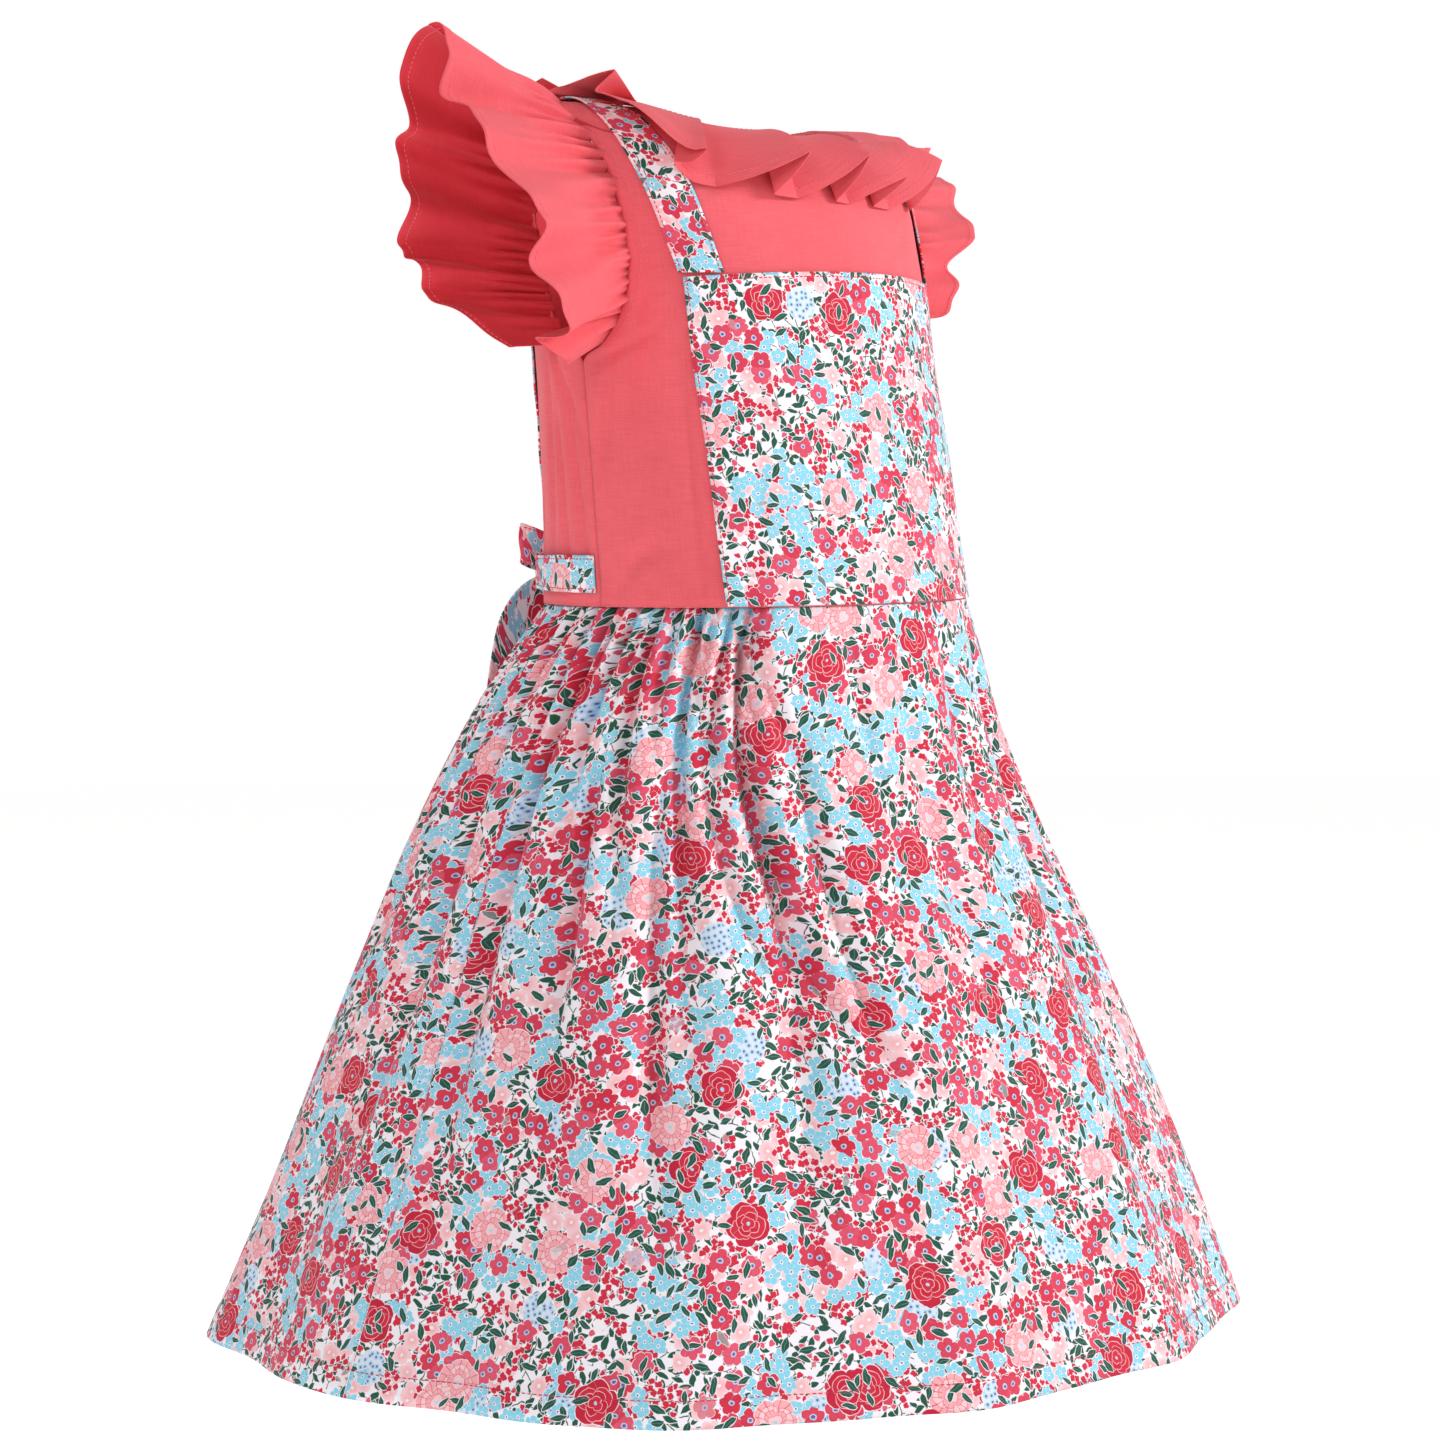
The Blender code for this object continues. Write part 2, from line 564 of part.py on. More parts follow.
def make_sleeve_ruffle(side, hand, coral):
    """A gathered strip round the armhole that stands out sideways, in waves that grow to its free edge."""
    seam = np.array([armhole_station(row, hand) for row in SLEEVE_STATIONS])
    marks = np.concatenate([[0.0], np.cumsum(np.linalg.norm(np.diff(seam, axis=0), axis=1))])
    marks /= marks[-1]
    places = np.linspace(0.0, 1.0, SLEEVE_COLUMNS + 1)
    points = np.stack([smooth_read(places, marks, seam[:, k]) for k in range(3)], axis=-1)
    length = smooth_read(places, marks, column(SLEEVE_STATIONS, f"{side}_length"))
    back = smooth_read(places, marks, column(SLEEVE_STATIONS, "lean_back"))
    up = smooth_read(places, marks, column(SLEEVE_STATIONS, f"{side}_up"))
    out = unit(np.stack([np.full(places.shape, float(hand)), back, up], axis=-1))
    across = unit(np.cross(unit(np.gradient(points, axis=0)), out)) * -hand
    shifted = places + 0.016 * np.sin(2 * math.pi * 2.3 * places)
    phase = 2 * math.pi * SLEEVE_WAVES * shifted
    uneven = 1.0 + 0.30 * np.sin(2 * math.pi * 1.7 * places + 0.6)
    ends = smooth_step(0.0, 0.08, places) * smooth_step(0.0, 0.08, 1 - places)
    wave = np.sin(phase) * uneven * ends
    gather = np.sin(2.0 * phase + 0.8) * ends
    root = points + out * SLEEVE_SEAM_GAP
    grid = []
    for down in SLEEVE_ROWS:
        ripple = SLEEVE_WAVE_HEIGHT * down**1.1 * wave
        ripple += SLEEVE_GATHER_HEIGHT * math.exp(-((down - 0.22) / 0.16) ** 2) * gather
        grid.append(root + out * (length * down)[:, None] + across * ripple[:, None])
    grid = np.array(grid)
    inner = moved_out(grid, -CLOTH, np.broadcast_to(across, grid.shape))
    wall_object(f"sleeve_ruffle_{side}", grid, inner, coral)


# Skirt

def gather_angles():
    """Angles of the gathers' valleys, from the bib's edge round the back to its other edge, unevenly spaced."""
    spread = 360.0 - 2 * GATHER_START
    step = spread / GATHERS
    shifts = np.array([GATHER_PATTERN[k % len(GATHER_PATTERN)].shift for k in range(GATHERS)])
    return GATHER_START + step * (np.arange(GATHERS) + 0.5 + shifts)


def skirt_point(angle, drop):
    """Points of the gathered skirt: drop is 0 at the waist seam and 1 at the hem."""
    angle, drop = np.broadcast_arrays(np.asarray(angle, float), np.asarray(drop, float))
    drops = column(SKIRT, "drop")
    half_width = smooth_read(drop, drops, column(SKIRT, "half_width"))
    half_depth = smooth_read(drop, drops, column(SKIRT, "half_depth"))
    centre_y = smooth_read(drop, drops, column(SKIRT, "centre_y"))
    height = WAIST_HEIGHT - SEAM_GAP + (HEM_HEIGHT - WAIST_HEIGHT + SEAM_GAP) * drop
    turn = np.mod(angle, 360.0)
    step = (360.0 - 2 * GATHER_START) / GATHERS
    inward = np.zeros(angle.shape)
    for number, valley in enumerate(gather_angles()):
        pattern = GATHER_PATTERN[number % len(GATHER_PATTERN)]
        share = drop / pattern.length
        fade = (0.45 + 0.55 * smooth_step(0.0, 0.06, drop)) * (1.0 - smooth_step(0.35, 1.0, share))
        breadth = step * (0.36 + 0.30 * smooth_step(0.1, 0.6, drop))
        inward += pattern.depth * fade * np.exp(-(((turn - valley) / breadth) ** 2))
    waves = np.sin(np.radians(turn * BROAD_WAVES) + 0.8 * np.sin(np.radians(3 * turn)))
    radius_change = BROAD_WAVE_HEIGHT * smooth_step(0.15, 1.0, drop) * waves - inward
    x = (half_width + radius_change) * np.sin(np.radians(angle))
    y = centre_y - (half_depth + radius_change) * np.cos(np.radians(angle))
    return np.stack([x, y, height], axis=-1)


def skirt_columns():
    """Column angles: evenly under the bib, then one on each valley and on each ridge between two valleys."""
    valleys = gather_angles()
    ridges = (valleys[:-1] + valleys[1:]) / 2
    gathered = np.sort(np.concatenate([valleys, ridges]))
    plain = np.linspace(-GATHER_START, GATHER_START, SMOOTH_COLUMNS + 1)
    return plain, gathered


def make_skirt(floral):
    plain, gathered = skirt_columns()
    half_gap = math.degrees(SEAM_GAP / 2 / SKIRT[0].half_width) + SIDE_SEAM_MARGIN
    left = gathered[gathered < 90.0 - SIDE_SEAM_CLEAR]
    right = gathered[gathered > 270.0 + SIDE_SEAM_CLEAR] - 360.0
    middle = gathered[(gathered > 90.0 + SIDE_SEAM_CLEAR) & (gathered < 270.0 - SIDE_SEAM_CLEAR)]
    front = np.concatenate([[-90.0 + half_gap], right, plain, left, [90.0 - half_gap]])
    back = np.concatenate([[90.0 + half_gap], middle, [270.0 - half_gap]])
    drops = np.array(SKIRT_ROWS)[:, None]
    for name, angles in (("skirt_front", front), ("skirt_back", back)):
        outer = skirt_point(angles[None, :], drops)
        inner = moved_out(outer, -CLOTH, away_from_axis(outer))
        inner[0, :, 2] = outer[0, :, 2]
        inner[-1, :, 2] = outer[-1, :, 2]
        inner = clear_of_side(inner, outer)
        wall_object(name, outer, inner, floral)


def clear_of_side(inner, outer):
    """The inner grid with its side edges straight inside the outer ones, so that the halves don't cross."""
    kept = inner.copy()
    for edge in (0, -1):
        kept[:, edge, 1] = outer[:, edge, 1]
    return kept


# Ties and bow

def tie_grid(hand):
    """Points of a tie from the side seam to the knot, narrowing as it is drawn in."""
    angles = np.linspace(TIE_START_ANGLE, TIE_END_ANGLE, TIE_COLUMNS + 1)
    share = (angles - angles[0]) / (angles[-1] - angles[0])
    width = TIE_WIDTH + (TIE_KNOT_WIDTH - TIE_WIDTH) * smooth_step(0.1, 1.0, share)
    rows = []
    for up in (-0.5, 0.0, 0.5):
        rows.append(body_point(hand * angles, TIE_HEIGHT + up * width))
    return np.array(rows), share


def make_ties(floral):
    for name, hand in (("tie_left", 1), ("tie_right", -1)):
        grid, share = tie_grid(hand)
        outwards = away_from_axis(grid)
        lift = LAYER_GAP + (TIE_LIFT - LAYER_GAP) * smooth_step(0.0, 0.35, share)[None, :, None]
        wall_object(name, moved_out(grid, lift + CLOTH, outwards), moved_out(grid, lift, outwards), floral)


def knot_centre():
    seat = body_point(180.0, TIE_HEIGHT)
    return seat + np.array([0.0, TIE_LIFT + KNOT_HALF_SIZE[1] - KNOT_SINK, 0.0])


def make_knot(floral):
    """A soft rounded block that holds the ties and the bow."""
    mesh = bpy.data.meshes.new("bow_knot")
    work = bmesh.new()
    bmesh.ops.create_uvsphere(work, u_segments=12, v_segments=8, radius=1.0)
    for vert in work.verts:
        for axis in range(3):
            size = abs(vert.co[axis])
            vert.co[axis] = math.copysign(size**KNOT_SQUARENESS, vert.co[axis]) * KNOT_HALF_SIZE[axis]
    work.to_mesh(mesh)
    work.free()
    mesh.shade_smooth()
    item = bpy.data.objects.new("bow_knot", mesh)
    item.location = knot_centre()
    mesh.materials.append(floral)
    bpy.context.collection.objects.link(item)


def make_bow_loop(name, hand, floral):
    """A loop of cloth: out from the knot, round, and back, pinched at the knot and lifted at its end."""
    turn = np.pi * np.linspace(0.0, 1.0, LOOP_COLUMNS + 1)
    reach = np.sin(turn)
    sideways = KNOT_HALF_SIZE[0] + LOOP_START + LOOP_LENGTH * reach**LOOP_BLUNTNESS
    half_open = (LOOP_PINCH + LOOP_OPEN * reach) / 2 * np.cos(turn)
    height = LOOP_HEIGHT * (LOOP_GATHERED + (1.0 - LOOP_GATHERED) * smooth_step(0.0, 0.7, reach))
    grid = []
    for up in np.linspace(-0.5, 0.5, CLOTH_STRIP_ROWS):
        grid.append(np.stack([hand * sideways, LOOP_BEHIND + half_open + LOOP_SWING * reach,
                              up * height + LOOP_LIFT * reach], axis=-1))
    grid = np.array(grid) + knot_centre()
    middle = grid.mean(axis=(0, 1))
    wall_object(name, grid, moved_out(grid, -CLOTH, unit(grid - middle)), floral)


def make_bow_tail(name, hand, floral):
    """A free end of the tie that leaves the knot and falls outwards over the top of the skirt."""
    middle = np.array([(hand * row.sideways, row.behind, -row.down) for row in TAIL_STATIONS])
    along = unit(np.gradient(middle, axis=0))
    across = unit(np.cross(along, np.array([0.0, 1.0, 0.0])))
    widths = np.array(column(TAIL_STATIONS, "width"))[:, None]
    grid = np.array([middle + across * widths * share for share in np.linspace(-0.5, 0.5, CLOTH_STRIP_ROWS)])
    grid += knot_centre()
    backwards = np.array([0.0, 1.0, 0.0])
    wall_object(name, moved_out(grid, CLOTH, np.broadcast_to(backwards, grid.shape)), grid, floral)


def make_bow(floral):
    make_knot(floral)
    for side, hand in (("left", 1), ("right", -1)):
        make_bow_loop(f"bow_loop_{side}", hand, floral)
        make_bow_tail(f"bow_tail_{side}", hand, floral)


def main():
    clear_scene()
    coral = make_material("coral_poplin", CORAL_POPLIN)
    floral = make_material("floral_cotton", FLORAL_COTTON)
    red = make_material("red_button", RED_BUTTON)
    make_bodice(coral)
    make_bib(floral)
    make_straps(floral)
    make_back_opening(coral, red)
    make_neck_ruffle(coral)
    make_sleeve_ruffle("right", -1, coral)
    make_sleeve_ruffle("left", 1, coral)
    make_skirt(floral)
    make_ties(floral)
    make_bow(floral)


main()
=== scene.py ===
import math
from collections import namedtuple

import bpy
import numpy as np
from mathutils import Matrix, Vector


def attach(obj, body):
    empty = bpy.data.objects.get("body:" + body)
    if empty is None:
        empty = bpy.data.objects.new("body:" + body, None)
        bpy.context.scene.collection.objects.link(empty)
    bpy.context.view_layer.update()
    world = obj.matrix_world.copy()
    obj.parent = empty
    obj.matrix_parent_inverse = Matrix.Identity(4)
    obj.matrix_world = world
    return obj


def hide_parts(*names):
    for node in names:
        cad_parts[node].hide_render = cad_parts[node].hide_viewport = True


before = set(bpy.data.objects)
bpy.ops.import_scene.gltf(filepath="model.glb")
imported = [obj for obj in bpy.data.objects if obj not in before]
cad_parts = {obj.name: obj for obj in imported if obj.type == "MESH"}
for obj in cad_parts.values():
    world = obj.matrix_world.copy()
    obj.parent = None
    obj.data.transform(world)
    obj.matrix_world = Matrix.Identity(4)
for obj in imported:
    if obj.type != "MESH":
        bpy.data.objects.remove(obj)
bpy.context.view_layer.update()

# %% [markdown]
# # A child's fit and flare dress
#
# The frame that was just loaded holds the dress as plain solids. This notebook sews a finer dress over
# them: every solid of cloth is replaced by a thin sheet with its folds, its hem and its stitches, in the
# same place. The solids are only hidden, so their box stays in the scene.

# %% [markdown]
# ## Reading a shape from a few numbers
#
# A garment's form is easiest to keep as a short table of sections, with a smooth curve through its rows.
# Small functions do that work everywhere: they read a table, ease from nought to one and make unit vectors.
# Three more add an object to the scene, pick one out, and hang a finished piece on the frame in the place
# of its solid.


# %% Small helpers
def smooth_read(place, places, values):
    """Value of a table at a place, on a smooth curve through its rows."""
    places, values = np.asarray(places, float), np.asarray(values, float)
    slopes = np.gradient(values, places)
    place = np.clip(place, places[0], places[-1])
    row = np.clip(np.searchsorted(places, place, side="right") - 1, 0, len(places) - 2)
    span = places[row + 1] - places[row]
    x = (place - places[row]) / span
    return ((2 * x**3 - 3 * x**2 + 1) * values[row] + (x**3 - 2 * x**2 + x) * span * slopes[row]
            + (3 * x**2 - 2 * x**3) * values[row + 1] + (x**3 - x**2) * span * slopes[row + 1])


def ease(low, high, x):
    x = np.clip((x - low) / (high - low), 0.0, 1.0)
    return x * x * (3 - 2 * x)


def unit(vectors):
    return vectors / np.maximum(np.linalg.norm(vectors, axis=-1, keepdims=True), 1e-12)


def column(table, name):
    return [getattr(row, name) for row in table]


def add_object(name, data):
    item = bpy.data.objects.new(name, data)
    bpy.context.collection.objects.link(item)
    return item


def pick(item):
    """Selects this object alone and makes it the active one."""
    bpy.ops.object.select_all(action="DESELECT")
    bpy.context.view_layer.objects.active = item
    item.select_set(True)


def hang(item, node=None):
    """Lets a piece ride on the frame in the place of the node that it replaces, whose solid is hidden."""
    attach(item, "root")
    if node:
        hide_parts(node)


# %% [markdown]
# ## The figure inside the dress
#
# A dress without a wearer has no shape of its own, so it gets a general figure: level ovals from the waist
# to the shoulders. A place on the figure is an angle from the centre front and a height. The top rounds off
# like a dome, so that the front and the back meet along the shoulder seam, and the wearer's left shoulder
# hangs slightly lower.

# %% Sections of the figure
WAIST, HEM = -0.257, -0.636
Section = namedtuple("Section", "height half_width half_depth centre_y")
BODY = [
    Section(-0.257, 0.1236, 0.1038, -0.031),
    Section(-0.220, 0.1232, 0.0990, -0.028),
    Section(-0.180, 0.1228, 0.0955, -0.024),
    Section(-0.140, 0.1215, 0.0925, -0.019),
    Section(-0.092, 0.1210, 0.0915, -0.013),
    Section(-0.050, 0.1225, 0.0885, -0.006),
    Section(0.000, 0.1265, 0.0885, 0.000),
]
DOME_DEPTH, DOME_ROUND, LEFT_DROP = 0.060, 2.1, 0.0045


def body_oval(height):
    """Half width, half depth and centre of the figure at a height."""
    half_width, half_depth, centre_y = (
        smooth_read(height, column(BODY, "height"), column(BODY, name))
        for name in ("half_width", "half_depth", "centre_y"))
    top = np.clip((height + DOME_DEPTH) / DOME_DEPTH, 0.0, 1.0)
    return half_width, half_depth * (1.0 - top**DOME_ROUND) ** (1.0 / DOME_ROUND), centre_y


def left_drop(x, height):
    return LEFT_DROP * ease(-DOME_DEPTH, 0.0, height) * ease(-0.06, 0.11, x)


def body_point(angle, height):
    """Points of the figure at angles in degrees from the centre front and at heights."""
    angle, height = np.broadcast_arrays(np.asarray(angle, float), np.asarray(height, float))
    half_width, half_depth, centre_y = body_oval(height)
    x = half_width * np.sin(np.radians(angle))
    y = centre_y - half_depth * np.cos(np.radians(angle))
    return np.stack([x, y, height - left_drop(x, height)], axis=-1)


def angle_of_x(x, height, side):
    angle = np.degrees(np.arcsin(np.clip(x / body_oval(height)[0], -1.0, 1.0)))
    return angle if side == "front" else 180.0 - angle


print("figure at the waist", np.round(body_point([0, 90, 180], WAIST), 4).tolist())

# %% [markdown]
# ## The camera
#
# The dress was seen from its wearer's right and a little from the front, from nearly two metres away and
# from just above its middle. The camera's three directions are worked out from the angle, the pitch and a
# trace of roll, and written into its matrix.

# %% Camera
VIEW_ANGLE, PITCH, ROLL = math.radians(49.33), 0.068, -0.00679
CAMERA_DISTANCE, CAMERA_HEIGHT = 1.94517, -0.19148
level = Vector((math.sin(VIEW_ANGLE), math.cos(VIEW_ANGLE), 0.0))
across = Vector((math.cos(VIEW_ANGLE), -math.sin(VIEW_ANGLE), 0.0))
skyward = Vector((0.0, 0.0, 1.0))
forward = level * math.cos(PITCH) - skyward * math.sin(PITCH)
upward = skyward * math.cos(PITCH) + level * math.sin(PITCH)
turned_right = across * math.cos(ROLL) + upward * math.sin(ROLL)
turned_up = upward * math.cos(ROLL) - across * math.sin(ROLL)
camera = add_object("camera", bpy.data.cameras.new("camera"))
camera.matrix_world = Matrix.Translation(-level * CAMERA_DISTANCE + skyward * CAMERA_HEIGHT) @ Matrix(
    (turned_right, turned_up, -forward)).transposed().to_4x4()
camera.data.lens = 90.0
camera.data.shift_x = 0.0061
camera.data.clip_start, camera.data.clip_end = 0.05, 100.0
bpy.context.scene.camera = camera
print("camera at", [round(value, 3) for value in camera.location])

# %% [markdown]
# ## Light and floor
#
# A dress in a plain studio is lit from everywhere, with a soft lamp in front for its form and two weaker
# ones, at the side and behind, that open the shadows. The camera sees the world as plain white. The floor
# is a wide pale disc far below the hem, as under a stand that was taken away, and it glows a little so that
# it meets the white.

# %% Lamps, world and floor
LAMP_TARGET = Vector((0, 0, -0.3))
FLOOR_HEIGHT, FLOOR_RADIUS = -1.10, 9.0


def soft_lamp(name, place, size, power):
    lamp = bpy.data.lights.new(name, "AREA")
    lamp.shape, lamp.size, lamp.energy = "DISK", size, power
    item = add_object(name, lamp)
    item.location = place
    item.rotation_euler = (LAMP_TARGET - Vector(place)).to_track_quat("-Z", "Y").to_euler()


soft_lamp("key_lamp", (1.3, -2.1, 1.0), 0.7, 44.0)
soft_lamp("side_lamp", (-2.4, -0.9, 0.8), 1.3, 15.0)
soft_lamp("back_lamp", (0.8, 2.6, 0.9), 1.6, 12.0)
world = bpy.data.worlds.new("studio")
bpy.context.scene.world = world
world.use_nodes = True
world_tree = world.node_tree
daylight = world_tree.nodes["Background"]
daylight.inputs["Color"].default_value = (1.0, 0.985, 0.98, 1.0)
daylight.inputs["Strength"].default_value = 0.46
seen_white = world_tree.nodes.new("ShaderNodeBackground")
seen_white.inputs["Color"].default_value = (1.0, 1.0, 1.0, 1.0)
ray_kind = world_tree.nodes.new("ShaderNodeLightPath")
either = world_tree.nodes.new("ShaderNodeMixShader")
world_tree.links.new(ray_kind.outputs["Is Camera Ray"], either.inputs["Fac"])
world_tree.links.new(daylight.outputs[0], either.inputs[1])
world_tree.links.new(seen_white.outputs[0], either.inputs[2])
world_tree.links.new(either.outputs[0], world_tree.nodes["World Output"].inputs["Surface"])
bpy.context.scene.view_settings.view_transform = "Standard"

bpy.ops.object.select_all(action="DESELECT")
bpy.ops.mesh.primitive_circle_add(vertices=96, radius=FLOOR_RADIUS, fill_type="NGON",
                                  location=(0, 0, FLOOR_HEIGHT))
floor = bpy.context.active_object
floor.name = "floor"
bpy.ops.object.transform_apply(location=True, rotation=True, scale=True)
floor_paint = bpy.data.materials.new("pale_floor")
floor_paint.use_nodes = True
floor_shader = floor_paint.node_tree.nodes["Principled BSDF"]
floor_shader.inputs["Base Color"].default_value = (0.92, 0.92, 0.92, 1.0)
floor_shader.inputs["Roughness"].default_value = 0.9
floor_shader.inputs["Specular IOR Level"].default_value = 0.0
floor_shader.inputs["Emission Color"].default_value = (1.0, 1.0, 1.0, 1.0)
floor_shader.inputs["Emission Strength"].default_value = 0.57
floor.data.materials.append(floor_paint)
print("lamps", [item.name for item in bpy.data.objects if item.type == "LIGHT"])

# %% [markdown]
# ## Writing shader maths like ordinary maths
#
# Patterns on cloth are sums and comparisons of many values. Blender does them with nodes, which are tedious
# to place by hand, so a small class wraps a socket: adding or multiplying two of them places the Math node.
# Every other node comes from one method, which takes the node's type, its settings and what goes into its
# sockets.


# %% The class for sockets
class Wire:
    def __init__(self, tree, socket):
        self.tree, self.socket = tree, socket

    def node(self, kind, settings, inputs, output=0):
        """Places a node, sets it up, feeds its sockets and returns one of its outputs."""
        item = self.tree.nodes.new(kind)
        for name, value in settings.items():
            setattr(item, name, value)
        for name, value in inputs.items():
            if isinstance(value, Wire):
                self.tree.links.new(value.socket, item.inputs[name])
            else:
                item.inputs[name].default_value = value
        return Wire(self.tree, item.outputs[output])

    def sibling(self, output):
        """Another output of the same node."""
        return Wire(self.tree, self.socket.node.outputs[output])

    def maths(self, operation, *others, clamp=False):
        inputs = dict(enumerate((self,) + others))
        return self.node("ShaderNodeMath", {"operation": operation, "use_clamp": clamp}, inputs)

    def __add__(self, other):
        return self.maths("ADD", other)

    def __sub__(self, other):
        return self.maths("SUBTRACT", other)

    def __mul__(self, other):
        return self.maths("MULTIPLY", other)

    def __truediv__(self, other):
        return self.maths("DIVIDE", other)

    def __rsub__(self, other):
        return self.maths("MULTIPLY_ADD", -1.0, other)

    __radd__, __rmul__ = __add__, __mul__

    def above(self, limit, softness):
        """Nought below a limit and one above it, with a soft step between."""
        return self.maths("MULTIPLY_ADD", 1.0 / softness, 0.5 - limit / softness, clamp=True)

    def below(self, limit, softness):
        return self.maths("MULTIPLY_ADD", -1.0 / softness, 0.5 + limit / softness, clamp=True)

    def shifted(self, offset):
        """A vector moved by an offset."""
        return self.node("ShaderNodeVectorMath", {"operation": "ADD"}, {0: self, 1: offset})

    def stretched(self, factors):
        """A vector with each of its parts multiplied."""
        return self.node("ShaderNodeVectorMath", {"operation": "MULTIPLY"}, {0: self, 1: factors})

    def parts(self):
        x = self.node("ShaderNodeSeparateXYZ", {}, {0: self})
        return x, x.sibling(1), x.sibling(2)

    def noise(self, size, detail=2.0):
        """Cloudy noise with blobs about as large as size, in metres."""
        return self.node("ShaderNodeTexNoise", {"noise_dimensions": "2D"},
                         {"Vector": self, "Scale": 1.0 / size, "Detail": detail, "Roughness": 0.55})

    def between(self, low, high):
        """A colour between two others, at this share of the way."""
        return self.node("ShaderNodeMix", {"data_type": "RGBA"}, {0: self, 6: low, 7: high}, output=2)

    def painted(self, mask, colour):
        """This colour with another one painted on it where the mask is one."""
        return mask.between(self, colour)


def new_material(name, roughness, sheen, on_cloth=True):
    """A material with its plain numbers set, and a first value: the cloth's own map or the place in space."""
    material = bpy.data.materials.new(name)
    material.use_nodes = True
    tree = material.node_tree
    shader = tree.nodes["Principled BSDF"]
    shader.inputs["Roughness"].default_value = roughness
    shader.inputs["Sheen Weight"].default_value = sheen
    shader.inputs["Sheen Roughness"].default_value = 0.45
    shader.inputs["Specular IOR Level"].default_value = 0.25
    if not on_cloth:
        place = tree.nodes.new("ShaderNodeTexCoord")
        return material, shader, Wire(tree, place.outputs["Object"])
    place = tree.nodes.new("ShaderNodeUVMap")
    place.uv_map = "Cloth"
    return material, shader, Wire(tree, place.outputs[0])


def finish_material(shader, colour, relief, depth):
    """Feeds the colour, and the relief in metres through a Bump node, to the shader."""
    tree = shader.id_data
    tree.links.new(colour.socket, shader.inputs["Base Color"])
    bump = relief.node("ShaderNodeBump", {}, {"Height": relief, "Distance": depth, "Strength": 1.0})
    tree.links.new(bump.socket, shader.inputs["Normal"])


print("sockets can be added and multiplied")

# %% [markdown]
# ## Coral poplin
#
# Poplin is a plain weave of fine threads, some thicker than others, which show as short faint streaks along
# and across the cloth. Two stretched noises make the streaks, one for each direction of thread, and a slow
# third one makes the dye uneven. A fine wave in each direction raises the threads.

# %% Coral poplin and two threads
WEAVE_PITCH = 0.0004


def weave_relief(cloth):
    """Relief of a plain weave, from 0 to 1, with one thread each pitch."""
    along, up, _ = cloth.parts()
    warp = (along * (2 * math.pi / WEAVE_PITCH)).maths("SINE")
    weft = (up * (2 * math.pi / WEAVE_PITCH)).maths("SINE")
    return (warp * weft) * 0.5 + 0.5


def make_poplin(name, deep, light):
    material, shader, cloth = new_material(name, 0.78, 0.12)
    warp_streak = cloth.stretched((1.0, 0.045, 1.0)).noise(0.0006, 1.0)
    weft_streak = cloth.stretched((0.045, 1.0, 1.0)).shifted((3.1, 1.7, 0.0)).noise(0.0006, 1.0)
    cloudy = cloth.shifted((0.7, 0.2, 0.0)).noise(0.05, 2.0)
    tone = warp_streak * 0.35 + weft_streak * 0.45 + cloudy * 0.35
    relief = weave_relief(cloth) * 0.5 + (warp_streak + weft_streak) * 0.5
    finish_material(shader, tone.between(deep, light), relief, 0.00006)
    return material


coral = make_poplin("coral_poplin", (0.68, 0.070, 0.092, 1), (0.95, 0.160, 0.188, 1))
# A darker, deeper red copy of the poplin for the inner faces: painted shade and a painted red glow of light
# through the thin cloth, the same cloth as outside.
coral_painted_shade = make_poplin("coral_poplin_painted_shade", (0.58, 0.020, 0.036, 1), (0.80, 0.055, 0.072, 1))


def make_cloudy(name, roughness, scale, detail, deep, light, depth):
    """A plain material with cloudy colour and relief that stand still in space, for thread and buttons."""
    material, shader, place = new_material(name, roughness, 0.0, on_cloth=False)
    cloud = place.node("ShaderNodeTexNoise", {}, {"Vector": place, "Scale": scale, "Detail": detail})
    finish_material(shader, cloud.between(deep, light), cloud, depth)
    return material, shader


def make_thread(name, deep, light):
    return make_cloudy(name, 0.55, 900.0, 1.0, deep, light, 0.00005)[0]


red_thread = make_thread("red_thread", (0.50, 0.015, 0.040, 1), (0.78, 0.06, 0.10, 1))
coral_thread = make_thread("coral_thread", (0.72, 0.085, 0.120, 1), (1.0, 0.24, 0.28, 1))
print("plain finishes", coral.name, coral_painted_shade.name, red_thread.name, coral_thread.name)

# %% [markdown]
# ## Floral cotton
#
# The print is a crowd of small flowers on a pale ground. Each kind of flower is laid in the cells of a
# Voronoi texture: the texture gives the nearest cell's centre and a few random numbers of that cell, so the
# distance and the angle from the centre draw petals, and the random numbers turn each flower and decide
# whether it grows at all. The kinds are painted one over another, each with a thin pale gap round it, as a
# printer leaves.


# %% One kind of flower in Voronoi cells
Bloom = namedtuple("Bloom", "inside reach angle kind luck centre")


def blooms(cloth, spread, radius, petals, notch, seed, jitter=0.8):
    """Flowers about a spread apart. inside is the depth within the outline, and reach the distance."""
    place = cloth.shifted((seed, seed * 1.7, 0.0))
    cell = place.node("ShaderNodeTexVoronoi", {"voronoi_dimensions": "2D"},
                      {"Vector": place, "Scale": 1.0 / spread, "Randomness": jitter})
    centre = cell.sibling("Position")
    spin, kind, luck = cell.sibling("Color").parts()
    offset = place.node("ShaderNodeVectorMath", {"operation": "SUBTRACT"}, {0: place, 1: centre})
    across, up, _ = offset.parts()
    reach = across.maths("POWER", 2.0).maths("ADD", up.maths("POWER", 2.0)).maths("SQRT")
    angle = up.maths("ARCTAN2", across) + spin * 6.283
    petal = (angle * (petals / 2)).maths("COSINE").maths("ABSOLUTE").maths("POWER", 0.6)
    inside = (petal * (radius * notch) + radius * (1 - notch)) - reach
    return Bloom(inside, reach, angle, kind, luck, centre)


def growing(bloom, share, patch_size=None, patch_seed=0.0):
    """One where a flower grows: by its own luck, or by whether its centre lies in a patch."""
    if patch_size is None:
        return bloom.luck.below(share, 0.001)
    patch = bloom.centre.shifted((patch_seed, 0.3, 0.0)).noise(patch_size, 0.0)
    return patch.above(share, 0.002)


